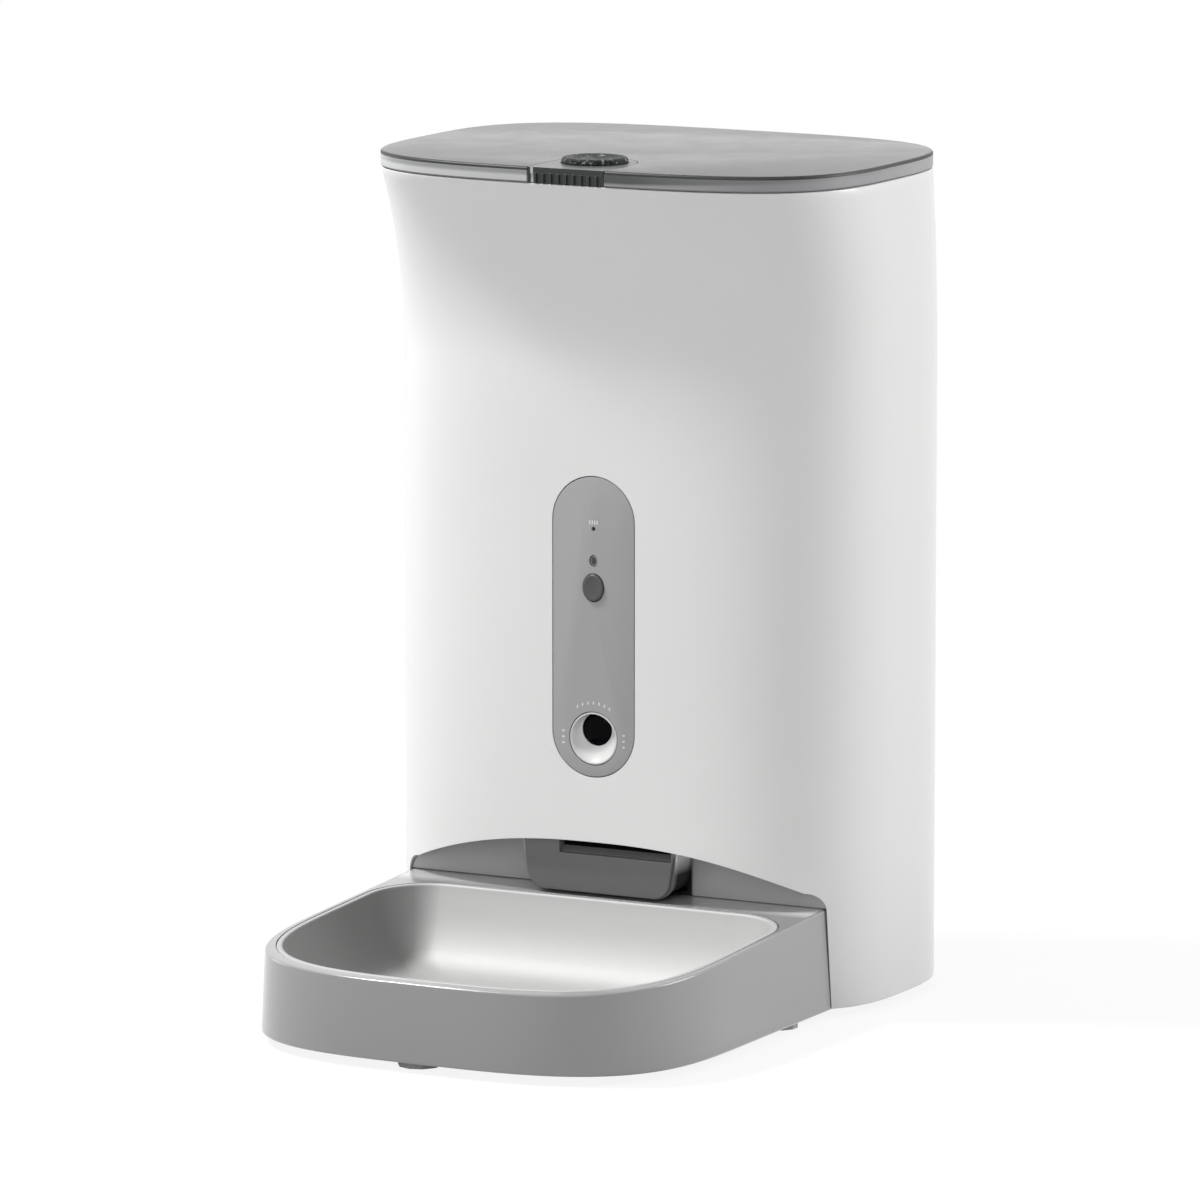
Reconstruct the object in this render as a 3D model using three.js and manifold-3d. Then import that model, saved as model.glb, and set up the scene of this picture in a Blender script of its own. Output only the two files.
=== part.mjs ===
// Camera pet feeder: a grain hopper over a motor-driven vaned rotor, a chute to a steel bowl,
// a camera panel on the front and a hinged smoked lid on top.
// Millimetres, +Z up, the bowl towards -Y, origin in the middle of the footprint on the floor.

import * as THREE from 'three';
import { mergeVertices } from 'three/addons/utils/BufferGeometryUtils.js';
import Module from 'manifold-3d';

const wasm = await Module();
wasm.setup();

// Clearances
const gap = 0.3;
const overrun = 6;
const weldDistance = 0.0001;

// How finely round stretches are faceted
const facets = { body: 48, frontArc: 24, corner: 4, rod: 10, disc: 20, chamber: 24, hopper: 48 };

// Housing: the white shell and the section it follows
const shell = {
  halfWidth: 98,
  topDraft: 1,
  front: 5.9,
  back: 127.4,
  bottom: 3.8,
  top: 305.2,
  flareBottom: 235,
  overhang: 21.8,
  wall: 2.5,
  exponent: 3.2,
  topExponent: 3.6,
};
shell.topHalfWidth = shell.halfWidth - shell.topDraft;

// Tray: the grey moulding that carries the bowl in front of the shell
const tray = {
  sideInset: 12.2,
  draft: 1.8,
  front: -127.4,
  arcStart: -44.9,
  back: 27.4,
  bottom: 3.5,
  rimHeight: 39.4,
  rimSlope: 0.054,
  edge: 0.8,
  wall: 2.5,
  deck: 2.5,
  exponent: 3.26,
};
tray.halfWidth = shell.halfWidth - tray.sideInset;

// Bowl: pressed steel, hung by its lip in the tray
const bowl = {
  sideInset: 4.8,
  front: -120.1,
  back: 6.6,
  cornerRadius: 22,
  floorCorner: 10,
  exponent: 3.2,
  floor: 9.6,
  sheet: 1,
  lip: 2.4,
  roll: 0.5,
};
bowl.halfWidth = tray.halfWidth - bowl.sideInset;
const lipSeat = bowl.sheet + gap;

// Arch in the shell above the tray
const arch = { height: 61.2, drop: 13.7, dropInset: 6.8, shoulderInset: 5.8, cornerRadius: 6.8, steps: 14, power: 2.5 };
arch.dropWidth = tray.halfWidth - arch.dropInset;
arch.shoulder = tray.halfWidth - arch.shoulderInset;

// Chute wall, spout and its cover
const wallPanel = { front: 24.7, thickness: 2.3, sideClearance: 0.8, top: 70, lift: 0.4 };
const spout = {
  face: 9.5,
  halfWidth: 32.4,
  bottomHalfWidth: 30.4,
  cornerRadius: 8,
  back: 45,
  wall: 1.6,
  sill: 55.6,
  slotLeft: -16,
  slotRight: 30,
  lipDepth: 1.5,
  ramp: 2,
};
const cover = { thickness: 1.6, inset: 1.1 };

// Mid frame: the plate on legs that carries the chamber, the motor and the gearbox
const frame = {
  bottom: 87.5,
  thickness: 2.5,
  sideInset: 28,
  front: 24,
  back: 108,
  corner: 10,
  legRadius: 4.5,
  frontLeg: { inset: 10, y: 38 },
  rearLeg: { inset: 6, y: 94 },
};
frame.top = frame.bottom + frame.thickness;
frame.halfWidth = shell.halfWidth - frame.sideInset;

// Rotor chamber and what turns in it
const chamber = { y: 67, radius: 42, wall: 2.5, floor: 2, height: 30 };
chamber.bottom = frame.top + gap;
chamber.top = chamber.bottom + chamber.height;
chamber.floorTop = chamber.bottom + chamber.floor;
const outlet = { left: -14, right: 28, front: 26.5, back: 44 };
const rotor = { hubRadius: 9, height: 21, vanes: 6, vane: 3, tipClearance: 0.8, lift: 0.5 };
rotor.bottom = chamber.floorTop + rotor.lift;
rotor.top = rotor.bottom + rotor.height;
const baffle = { thickness: 2, drop: 1, reach: 53 };
baffle.top = chamber.top - baffle.drop;
const shaft = { radius: 4, top: 134 };
const agitator = { hubRadius: 8, lift: 1.5, hubHeight: 10, armRadius: 2.6, armLength: 33, rise: 4 };
const bush = { radius: 6.5 };

// Gear train from the motor to the rotor
const gears = {
  module: 1,
  pressureAngle: THREE.MathUtils.degToRad(20),
  addendum: 0.9,
  dedendum: 1.2,
  backlash: 0.4,
  face: 6,
  outputTeeth: 36,
  idlerTeeth: 35,
  pinionTeeth: 12,
};
gears.idlerX = ((gears.outputTeeth + gears.idlerTeeth) / 2) * gears.module;
gears.pinionX = gears.idlerX + ((gears.idlerTeeth + gears.pinionTeeth) / 2) * gears.module;
const gearbox = { height: 21, wall: 1.6, floor: 2, cover: 2, tipClearance: 0.8, boss: 2.2, corner: 7 };
gearbox.coverTop = frame.bottom - gap;
gearbox.coverBottom = gearbox.coverTop - gearbox.cover;
gearbox.bottom = gearbox.coverTop - gearbox.height;
gearbox.gearBottom = gearbox.bottom + gearbox.floor + gearbox.boss;
const axle = { radius: 2 };
const motor = { radius: 11.5, height: 26, noseRadius: 4, shaftRadius: 1.6, shaftDepth: 9, terminal: 2.4, cap: 2 };

// Hopper
const hopper = {
  wall: 2,
  clearance: 0.8,
  exponent: 3,
  lowFront: 26,
  sideInset: 5.4,
  funnelTop: 172,
  straightTop: 208,
  flareJoin: 240,
  topDrop: 0.3,
};
hopper.bottom = chamber.top + gap;
hopper.lowHalfWidth = shell.halfWidth - hopper.sideInset;

// Front panel, its board and the camera
const panel = { halfWidth: 16.65, aboveArch: 24.4, top: 196.3, thickness: 2.3, fit: 0.35, capSteps: 8 };
panel.bottom = arch.height + panel.aboveArch;
const led = { height: 165.4, halfWidth: 1.45, halfHeight: 1.85, sink: 0.2 };
const microphone = { height: 177.2, holeRadius: 0.8, radius: 3, length: 2.7 };
const feedButton = {
  height: 155.5,
  halfWidth: 4.2,
  halfHeight: 5,
  proud: 0.8,
  flange: 1.1,
  flangeThickness: 1,
  travel: 0.8,
};
const pushSwitch = { size: 6, thickness: 1.6 };
const frontBoard = { front: 12.5, thickness: 1.6, halfWidth: 12.5, bottom: 117, top: 189 };
const post = { radius: 1.6, x: 9.5, low: 122, high: 184 };
const camera = {
  ringLift: 14.1,
  ringRadius: 9.7,
  lensRise: 3,
  lensRadius: 6.1,
  funnelMouth: 9.1,
  funnelDepth: 3,
  ringDepth: 6,
  glass: 1.2,
  dome: 0.9,
  barrelRadius: 5.6,
  barrelBack: 18.6,
  boardHalfWidth: 11,
  boardDrop: 9.7,
  boardHeight: 21,
  board: 1.4,
};
camera.ringHeight = panel.bottom + camera.ringLift;
camera.lensHeight = camera.ringHeight + camera.lensRise;
camera.boardBottom = camera.lensHeight - camera.boardDrop;
camera.boardTop = camera.boardBottom + camera.boardHeight;

// Lid with its hinge and latch
const lid = {
  height: 5.7,
  plate: 2.2,
  rim: 3,
  exponent: 3.6,
  edge: 1,
};
lid.bottom = shell.top + gap;
lid.top = lid.bottom + lid.height;
const lidFrame = { thickness: 2.6, skirtInset: 9.3, skirtWall: 2, skirtDrop: 10, lift: 0.4 };
lidFrame.bottom = lid.bottom + lidFrame.lift;
lidFrame.top = lidFrame.bottom + lidFrame.thickness;
lidFrame.skirtBottom = lidFrame.bottom - lidFrame.skirtDrop;
const seal = { inset: 6.6, thickness: 2.4, height: 3 };
const hinge = {
  behind: 3.2,
  below: 2.5,
  knuckleRadius: 2.6,
  boreRadius: 1.5,
  pinRadius: 1.2,
  shareOfHalfWidth: 1 / 3,
  armWidth: 12,
  earWidth: 3.5,
  earDrop: 7,
  earTop: 1.6,
  armReach: 12,
};
hinge.x = shell.topHalfWidth * hinge.shareOfHalfWidth;
hinge.y = shell.back + hinge.behind;
hinge.z = lid.bottom - hinge.below;
const latch = {
  halfWidth: 15.4,
  buttonRadius: 12.15,
  buttonY: 7,
  proud: 2.1,
  tab: 3,
  ribs: 9,
  rib: 0.5,
  travel: 2.4,
  stemRadius: 3.5,
};
const bolt = { halfWidth: 6, thickness: 2.7, noseBack: 0.7, length: 19, drop: 6.3, windowHalf: 4 };
bolt.bottom = lidFrame.bottom - bolt.drop;
bolt.top = bolt.bottom + bolt.thickness;
const keeper = { halfWidth: 8, plate: 1, lip: 2.8, lipThickness: 1.8, height: 2.3 };
const rail = { thickness: 2, foot: 1.5, length: 18 };
const desiccant = { halfWidth: 26, front: 48, back: 92, height: 11, wall: 1.5, slots: 6, slot: 2 };

// Base plate, battery bay and power inlet
const basePlate = { thickness: 2.5, inset: 2.9 };
basePlate.top = tray.bottom + basePlate.thickness;
const bay = { sideInset: 16, front: 51.5, back: 117.5, wall: 1.5, height: 39, post: 4, postRadius: 2.5, postInset: 7 };
bay.halfWidth = frame.halfWidth - bay.sideInset;
bay.bottom = basePlate.top + gap;
bay.top = bay.bottom + bay.height;
const door = { inset: 3.5, thickness: 2.2, ribs: 3, rib: 1.2 };
const contact = { sideInset: 6, thickness: 0.5, bottom: 12, top: 34, leaves: 3, leaf: 2.5, leafWidth: 9 };
contact.halfWidth = bay.halfWidth - contact.sideInset;
contact.pitch = (2 * contact.halfWidth) / contact.leaves;
const mainBoard = { sideInset: 3, front: 55, back: 113, thickness: 1.6 };
mainBoard.halfWidth = bay.halfWidth - mainBoard.sideInset;
mainBoard.bottom = bay.top + bay.post + gap;
const jack = { bayClearance: 8.5, halfWidth: 5.5, depth: 12.5, height: 12, noseRadius: 4.5, noseRecess: 1, bore: 3.2 };
jack.x = bay.halfWidth + jack.bayClearance + jack.halfWidth;
const jackHeight = bay.bottom + jack.height / 2;
const speaker = { x: -34, height: 98, radius: 18, depth: 9, cone: 5, rim: 2, slots: 5, slot: 1.8, slotHeight: 26, pitch: 5.4 };
const screw = { headRadius: 3.4, head: 2, shankRadius: 1.5, length: 14, play: 0.4 };
const foot = {
  radius: 6.5,
  frontRadius: 8,
  height: 3.2,
  frontX: -7.5,
  frontInset: 14.8,
  sideInset: 8.8,
  sideY: 5,
  rearInset: 17.4,
  rearSpread: 58,
};
foot.frontY = tray.front + foot.frontInset;
foot.sideX = tray.halfWidth - foot.sideInset;
foot.rearY = shell.back - foot.rearInset;

// Materials

function material(color, roughness, metalness = 0) {
  return new THREE.MeshStandardMaterial({ color, roughness, metalness });
}

const materials = {
  white: material('#e6e6e4', 0.45),
  grey: material('#b4b4b2', 0.5),
  darkGrey: material('#77777a', 0.5),
  panelGrey: material('#a2a2a2', 0.4),
  steel: material('#c9cac8', 0.25, 1),
  smoke: material('#8e9190', 0.08),
  black: material('#141416', 0.3),
  glass: material('#0a0b0d', 0.05),
  board: material('#2f5a3a', 0.6),
  natural: material('#d8d6cc', 0.55),
  silicone: material('#8b8f92', 0.8),
  acetal: material('#efece2', 0.4),
  rubber: material('#3a3a3c', 0.85),
  lamp: material('#dfe6ee', 0.3),
  brass: material('#b3925a', 0.35, 1),
};

// Booleans on closed meshes

function solidOf(geometry) {
  const bare = geometry.clone();
  bare.deleteAttribute('normal');
  bare.deleteAttribute('uv');
  const welded = mergeVertices(bare, weldDistance);
  return new wasm.Manifold(
    new wasm.Mesh({
      numProp: 3,
      vertProperties: new Float32Array(welded.attributes.position.array),
      triVerts: new Uint32Array(welded.index.array),
    }),
  );
}

function geometryOf(solid) {
  const mesh = solid.getMesh();
  const geometry = new THREE.BufferGeometry();
  geometry.setAttribute('position', new THREE.BufferAttribute(mesh.vertProperties, mesh.numProp));
  geometry.setIndex(new THREE.BufferAttribute(mesh.triVerts, 1));
  geometry.computeVertexNormals();
  return geometry;
}

function cut(base, ...tools) {
  return geometryOf(tools.reduce((solid, tool) => solid.subtract(solidOf(tool)), solidOf(base)));
}

function join(base, ...more) {
  return geometryOf(more.reduce((solid, other) => solid.add(solidOf(other)), solidOf(base)));
}

function overlapOf(base, other) {
  return geometryOf(solidOf(base).intersect(solidOf(other)));
}

// Basic shapes, placed by their limits

function block(x0, x1, y0, y1, z0, z1) {
  const geometry = new THREE.BoxGeometry(x1 - x0, y1 - y0, z1 - z0);
  return geometry.translate((x0 + x1) / 2, (y0 + y1) / 2, (z0 + z1) / 2);
}

function disc(radius, x, y, z0, z1, sides = facets.disc) {
  const geometry = new THREE.CylinderGeometry(radius, radius, z1 - z0, sides);
  return geometry.rotateX(Math.PI / 2).translate(x, y, (z0 + z1) / 2);
}

function rodAlongY(radius, x, z, y0, y1, sides = facets.disc) {
  return new THREE.CylinderGeometry(radius, radius, y1 - y0, sides).translate(x, (y0 + y1) / 2, z);
}

function rodAlongX(radius, y, z, x0, x1, sides = facets.rod) {
  const geometry = new THREE.CylinderGeometry(radius, radius, x1 - x0, sides);
  return geometry.rotateZ(Math.PI / 2).translate((x0 + x1) / 2, y, z);
}

function shapeOf(points) {
  return new THREE.Shape(points.map(([u, v]) => new THREE.Vector2(u, v)));
}

function extrude(points, depth) {
  return new THREE.ExtrudeGeometry(shapeOf(points), { depth, bevelEnabled: false });
}

function prism(points, z0, z1) {
  return extrude(points, z1 - z0).translate(0, 0, z0);
}

function prismAlongY(pointsXZ, y0, y1) {
  return extrude(pointsXZ, y1 - y0).rotateX(Math.PI / 2).translate(0, y1, 0);
}

function prismAlongX(pointsYZ, x0, x1) {
  const turn = new THREE.Matrix4().makeBasis(
    new THREE.Vector3(0, 1, 0),
    new THREE.Vector3(0, 0, 1),
    new THREE.Vector3(1, 0, 0),
  );
  return extrude(pointsYZ, x1 - x0).applyMatrix4(turn).translate(x0, 0, 0);
}

// Lofts through rings that have the same number of points, anticlockwise seen from above

function loft(rings, closed = false) {
  const count = rings[0].length;
  const position = rings.flat().flatMap((point) => [point.x, point.y, point.z]);
  const index = [];
  const bands = closed ? rings.length : rings.length - 1;
  for (let k = 0; k < bands; k++) {
    const low = k * count;
    const high = ((k + 1) % rings.length) * count;
    for (let i = 0; i < count; i++) {
      const next = (i + 1) % count;
      index.push(low + i, low + next, high + next, low + i, high + next, high + i);
    }
  }
  if (!closed) {
    const centreOf = (ring) => ring.reduce((sum, p) => sum.add(p), new THREE.Vector3()).divideScalar(count);
    const lowCentre = rings.length * count;
    const highCentre = lowCentre + 1;
    position.push(...centreOf(rings[0]).toArray(), ...centreOf(rings.at(-1)).toArray());
    const last = (rings.length - 1) * count;
    for (let i = 0; i < count; i++) {
      const next = (i + 1) % count;
      index.push(lowCentre, next, i, highCentre, last + i, last + next);
    }
  }
  const geometry = new THREE.BufferGeometry();
  geometry.setAttribute('position', new THREE.Float32BufferAttribute(position, 3));
  geometry.setIndex(index);
  geometry.computeVertexNormals();
  return geometry;
}

function raise(outline, height) {
  const heightAt = typeof height === 'function' ? height : () => height;
  return outline.map(([x, y]) => new THREE.Vector3(x, y, heightAt(x, y)));
}

function superPoint(angle, halfX, halfY, exponent, inset = 0) {
  const c = Math.cos(angle);
  const s = Math.sin(angle);
  const x = Math.sign(c) * Math.abs(c) ** (2 / exponent);
  const y = Math.sign(s) * Math.abs(s) ** (2 / exponent);
  const normal = new THREE.Vector2(
    (Math.sign(x) * Math.abs(x) ** (exponent - 1)) / halfX,
    (Math.sign(y) * Math.abs(y) ** (exponent - 1)) / halfY,
  ).normalize();
  return [x * halfX - normal.x * inset, y * halfY - normal.y * inset];
}

function superOutline(halfX, front, back, exponent, inset, count) {
  const outline = [];
  for (let i = 0; i < count; i++) {
    const [x, y] = superPoint((i / count) * 2 * Math.PI, halfX, (back - front) / 2, exponent, inset);
    outline.push([x, y + (front + back) / 2]);
  }
  return outline;
}

function ellipse(halfWidth, halfHeight, height, steps = facets.disc) {
  const points = [];
  for (let i = 0; i < steps; i++) {
    const angle = (i / steps) * 2 * Math.PI;
    points.push([halfWidth * Math.cos(angle), height + halfHeight * Math.sin(angle)]);
  }
  return points;
}

function arcPoints(x, y, radius, from, to, steps) {
  const points = [];
  for (let i = 0; i <= steps; i++) {
    const angle = from + ((to - from) * i) / steps;
    points.push([x + radius * Math.cos(angle), y + radius * Math.sin(angle)]);
  }
  return points;
}

function roundedRectangle(x0, x1, y0, y1, radius) {
  const quarter = Math.PI / 2;
  return [
    ...arcPoints(x1 - radius, y0 + radius, radius, -quarter, 0, facets.corner),
    ...arcPoints(x1 - radius, y1 - radius, radius, 0, quarter, facets.corner),
    ...arcPoints(x0 + radius, y1 - radius, radius, quarter, 2 * quarter, facets.corner),
    ...arcPoints(x0 + radius, y0 + radius, radius, 2 * quarter, 3 * quarter, facets.corner),
  ];
}

// The shell's section: straight behind, leaning forward over the bowl near the top

function flareShare(z) {
  return THREE.MathUtils.clamp((z - shell.flareBottom) / (shell.top - shell.flareBottom), 0, 1) ** 2;
}

function shellFrontAt(z) {
  return shell.front - shell.overhang * flareShare(z);
}

function shellOutline(z, inset, count = facets.body) {
  const share = flareShare(z);
  const halfX = THREE.MathUtils.lerp(shell.halfWidth, shell.topHalfWidth, share);
  const exponent = THREE.MathUtils.lerp(shell.exponent, shell.topExponent, share);
  return superOutline(halfX, shellFrontAt(z), shell.back, exponent, inset, count);
}

function shellBackAt(x, z, inset) {
  const outline = shellOutline(z, inset);
  const middle = (shellFrontAt(z) + shell.back) / 2;
  const near = outline.findIndex(([px, py], i) => {
    const [nx] = outline[(i + 1) % outline.length];
    return py > middle && px >= Math.abs(x) && nx < Math.abs(x);
  });
  const [ax, ay] = outline[near];
  const [bx, by] = outline[near + 1];
  return THREE.MathUtils.mapLinear(Math.abs(x), ax, bx, ay, by);
}

function shellSideAt(y, z, inset) {
  const outline = shellOutline(z, inset);
  const near = outline.findIndex(([px, py], i) => {
    const [, ny] = outline[(i + 1) % outline.length];
    return px > 0 && Math.min(py, ny) <= y && Math.max(py, ny) > y;
  });
  const [ax, ay] = outline[near];
  const [bx, by] = outline[(near + 1) % outline.length];
  return THREE.MathUtils.mapLinear(y, ay, by, ax, bx);
}

wallPanel.halfWidth = shellSideAt(wallPanel.front, wallPanel.top, shell.wall) - wallPanel.sideClearance;
speaker.back = shellBackAt(speaker.x - speaker.radius, speaker.height, shell.wall + gap);
jack.back = shellBackAt(jack.x + jack.halfWidth, jackHeight, shell.wall + gap);
jack.front = jack.back - jack.depth;
jack.noseEnd = shellBackAt(jack.x, jackHeight, jack.noseRecess);

function shellLevels() {
  const steps = 4;
  const levels = [];
  for (let i = 0; i <= steps; i++) {
    levels.push(shell.flareBottom + ((shell.top - shell.flareBottom) * i) / steps);
  }
  return levels;
}

// The tray's outline: a superellipse in front, straight sides, square behind

function trayOutline(halfWidth, inset, back = tray.back) {
  const outline = [];
  for (let i = 0; i <= facets.frontArc; i++) {
    const angle = -Math.PI + (i / facets.frontArc) * Math.PI;
    const [x, y] = superPoint(angle, halfWidth, tray.arcStart - tray.front, tray.exponent, inset);
    outline.push([x, tray.arcStart + y]);
  }
  outline.push([halfWidth - inset, back - inset], [-(halfWidth - inset), back - inset]);
  return outline;
}

function bowlOutline(inset) {
  const outline = [];
  const quarter = Math.PI / 2;
  for (let i = 0; i <= facets.frontArc; i++) {
    const angle = -Math.PI + (i / facets.frontArc) * Math.PI;
    const [x, y] = superPoint(angle, bowl.halfWidth, tray.arcStart - bowl.front, bowl.exponent, inset);
    outline.push([x, tray.arcStart + y]);
  }
  const radius = Math.max(bowl.cornerRadius - inset, bowl.floorCorner);
  const cornerX = bowl.halfWidth - inset - radius;
  const cornerY = bowl.back - inset - radius;
  outline.push(...arcPoints(cornerX, cornerY, radius, 0, quarter, facets.corner));
  outline.push(...arcPoints(-cornerX, cornerY, radius, quarter, 2 * quarter, facets.corner));
  return outline;
}

function rimAt(offset = 0) {
  return (x, y) => tray.rimHeight + tray.rimSlope * y + offset;
}

// Object tree

const feeder = new THREE.Group();

function part(name, geometry, look, x = 0, y = 0, z = 0) {
  const mesh = new THREE.Mesh(geometry, look);
  mesh.name = name;
  mesh.position.set(x, y, z);
  feeder.add(mesh);
}

// Arch outline in front view, down past the shell's bottom edge

function archOutline(grow) {
  const drop = (x) => arch.height - arch.drop * (Math.abs(x) / arch.dropWidth) ** arch.power;
  const side = tray.halfWidth + gap + grow;
  const foot = tray.halfWidth + tray.draft + gap + grow;
  const right = [];
  for (let i = 0; i <= arch.steps; i++) {
    const x = (arch.shoulder * i) / arch.steps;
    right.push([x, drop(x)]);
  }
  right.push([side, drop(arch.shoulder) - arch.cornerRadius]);
  right.push([foot, -overrun]);
  const left = right.slice(1).map(([x, z]) => [-x, z]);
  return [...right.reverse(), ...left];
}

function buildShell() {
  const levels = [shell.bottom, ...shellLevels()];
  const outer = levels.map((z) => raise(shellOutline(z, 0), z));
  const inner = levels.map((z) => raise(shellOutline(z, shell.wall), z)).reverse();
  const wall = loft([...outer, ...inner], true);

  const tools = [prismAlongY(archOutline(gap).reverse(), shell.front - overrun, tray.back + shell.wall)];
  tools.push(prismAlongY(capsule(panel.fit).reverse(), shell.front - overrun, shell.front + 2 * shell.wall));
  tools.push(rodAlongY(jack.noseRadius + gap, jack.x, jackHeight, jack.back, shell.back));
  for (const x of spread(speaker.slots, speaker.pitch)) {
    const left = speaker.x + x - speaker.slot / 2;
    const low = speaker.height - speaker.slotHeight / 2;
    tools.push(block(left, left + speaker.slot, speaker.back, shell.back + overrun, low, low + speaker.slotHeight));
  }
  let geometry = cut(wall, ...tools);
  for (const side of [-1, 1]) {
    geometry = join(geometry, ...hingeEars(side));
    geometry = cut(geometry, rodAlongX(hinge.boreRadius, hinge.y, hinge.z, ...earSpan(side, overrun)));
  }
  part('outer_shell', geometry, materials.white);
}

function spread(count, pitch) {
  return Array.from({ length: count }, (_, i) => (i - (count - 1) / 2) * pitch);
}

function capsule(grow) {
  const radius = panel.halfWidth + grow;
  const low = panel.bottom + panel.halfWidth;
  const high = panel.top - panel.halfWidth;
  return [
    ...arcPoints(0, high, radius, 0, Math.PI, panel.capSteps),
    ...arcPoints(0, low, radius, Math.PI, 2 * Math.PI, panel.capSteps),
  ];
}

// Hinge at the back of the lid: a knuckle on the lid between two ears on the shell

function earSpan(side, extra = 0) {
  const half = hinge.armWidth / 2 + gap + hinge.earWidth + extra;
  return [side * hinge.x - half, side * hinge.x + half];
}

function hingeEars(side) {
  const top = hinge.z + hinge.earTop;
  const root = shell.back - shell.wall;
  const profile = [
    [root, hinge.z - hinge.earDrop],
    [shell.back, hinge.z - hinge.earDrop],
    [hinge.y + hinge.knuckleRadius * Math.cos(Math.PI / 6), hinge.z - hinge.knuckleRadius / 2],
    [hinge.y, top],
    [root, top],
  ];
  const [outerLow, outerHigh] = earSpan(side);
  return [outerLow, outerHigh - hinge.earWidth].flatMap((x) => [
    prismAlongX(profile, x, x + hinge.earWidth),
    rodAlongX(hinge.knuckleRadius, hinge.y, hinge.z, x, x + hinge.earWidth),
  ]);
}

function buildHingePins() {
  for (const [name, side] of [['hinge_pin_left', -1], ['hinge_pin_right', 1]]) {
    const [low, high] = earSpan(side);
    const pin = rodAlongX(hinge.pinRadius, 0, 0, -(high - low) / 2, (high - low) / 2);
    part(name, pin, materials.steel, side * hinge.x, hinge.y, hinge.z);
  }
}

// Tray moulding with the sloped rim, the deck and the seat for the bowl's lip

function buildTray() {
  const low = tray.halfWidth + tray.draft;
  const openBack = tray.back + tray.wall + overrun;
  const outer = loft([
    raise(trayOutline(low, 0), tray.bottom),
    raise(trayOutline(tray.halfWidth, 0), rimAt(-tray.edge)),
    raise(trayOutline(tray.halfWidth, tray.edge), rimAt()),
  ]);
  const hollow = loft([
    raise(trayOutline(low, tray.wall, openBack), tray.bottom - overrun),
    raise(trayOutline(low, tray.wall, openBack), tray.bottom),
    raise(trayOutline(tray.halfWidth, tray.wall, openBack), rimAt(-lipSeat - tray.deck)),
  ]);
  const recess = loft([
    raise(bowlOutline(-bowl.lip - gap), rimAt(-lipSeat)),
    raise(bowlOutline(-bowl.lip - gap), rimAt(overrun)),
  ]);
  const opening = loft([
    raise(bowlOutline(-bowl.sheet - 2 * gap), tray.bottom - overrun),
    raise(bowlOutline(-bowl.sheet - 2 * gap), rimAt(overrun)),
  ]);
  part('base_housing', cut(outer, hollow, recess, opening), materials.grey);
}

// Bowl profile from the rim to the floor: how far in, and what share of the way down

const bowlProfileShares = [
  [0, 0.03],
  [0.045, 0.16],
  [0.14, 0.4],
  [0.27, 0.63],
  [0.44, 0.83],
  [0.66, 0.95],
  [1, 1],
];
const bowlTaper = 27;

function buildBowl() {
  const heightAt = (downShare, below) => (x, y) =>
    THREE.MathUtils.lerp(rimAt()(x, y), bowl.floor, downShare) - below;
  const inner = bowlProfileShares.map(([inShare, downShare]) =>
    raise(bowlOutline(bowlTaper * inShare), heightAt(downShare, 0)),
  );
  const outer = bowlProfileShares.slice(1).map(([inShare, downShare]) =>
    raise(bowlOutline(bowlTaper * inShare - bowl.sheet * (1 - inShare)), heightAt(downShare, bowl.sheet * downShare)),
  );
  const lip = [
    raise(bowlOutline(-bowl.sheet), rimAt(-bowl.sheet)),
    raise(bowlOutline(-bowl.lip), rimAt(-bowl.sheet)),
    raise(bowlOutline(-bowl.lip), rimAt(-bowl.roll)),
    raise(bowlOutline(-bowl.lip + bowl.roll), rimAt()),
    raise(bowlOutline(-bowl.roll), rimAt()),
  ];
  part('bowl', loft([...outer.reverse(), ...lip, ...inner]), materials.steel);
}

// Base plate under the tray and the shell, with the battery hatch

function hatch(grow) {
  const side = bay.halfWidth - door.inset + grow;
  return [-side, side, bay.front + door.inset - grow, bay.back - door.inset + grow];
}

function buildBasePlate() {
  const low = tray.halfWidth + tray.draft;
  const trayFloor = prism(trayOutline(low, basePlate.inset, tray.back + overrun), tray.bottom, basePlate.top);
  const bodyFloor = overlapOf(
    prism(shellOutline(shell.bottom, basePlate.inset), tray.bottom, basePlate.top),
    block(-shell.halfWidth, shell.halfWidth, tray.back + gap, shell.back, 0, basePlate.top),
  );
  const tools = [block(...hatch(gap), 0, basePlate.top + overrun)];
  for (const { x, y } of legPlaces()) {
    tools.push(disc(screw.headRadius + screw.play, x, y, 0, basePlate.top + overrun));
  }
  part('base_plate', cut(join(trayFloor, bodyFloor), ...tools), materials.grey);
}

function buildDoor() {
  const panelBlock = block(...hatch(0), tray.bottom, tray.bottom + door.thickness);
  const [left, right, front, back] = hatch(0);
  const ribs = spread(door.ribs, (back - front) / (door.ribs + 1)).map((offset) => {
    const y = (front + back) / 2 + offset;
    const half = (right - left) / 2 - door.inset;
    return block(-half, half, y - door.rib / 2, y + door.rib / 2, tray.bottom, basePlate.top);
  });
  part('battery_door', join(panelBlock, ...ribs), materials.grey);
}

function legPlaces() {
  return [frame.frontLeg, frame.rearLeg].flatMap(({ inset, y }) => [
    { x: -frame.halfWidth + inset, y },
    { x: frame.halfWidth - inset, y },
  ]);
}

// Chute wall and spout in one dark moulding

function rampLine(lift) {
  const front = spout.face + spout.lipDepth;
  const top = frame.bottom - gap;
  const slope = (top - spout.sill) / (outlet.back - front);
  return (y) => spout.sill + slope * (y - front) + lift;
}

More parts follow.
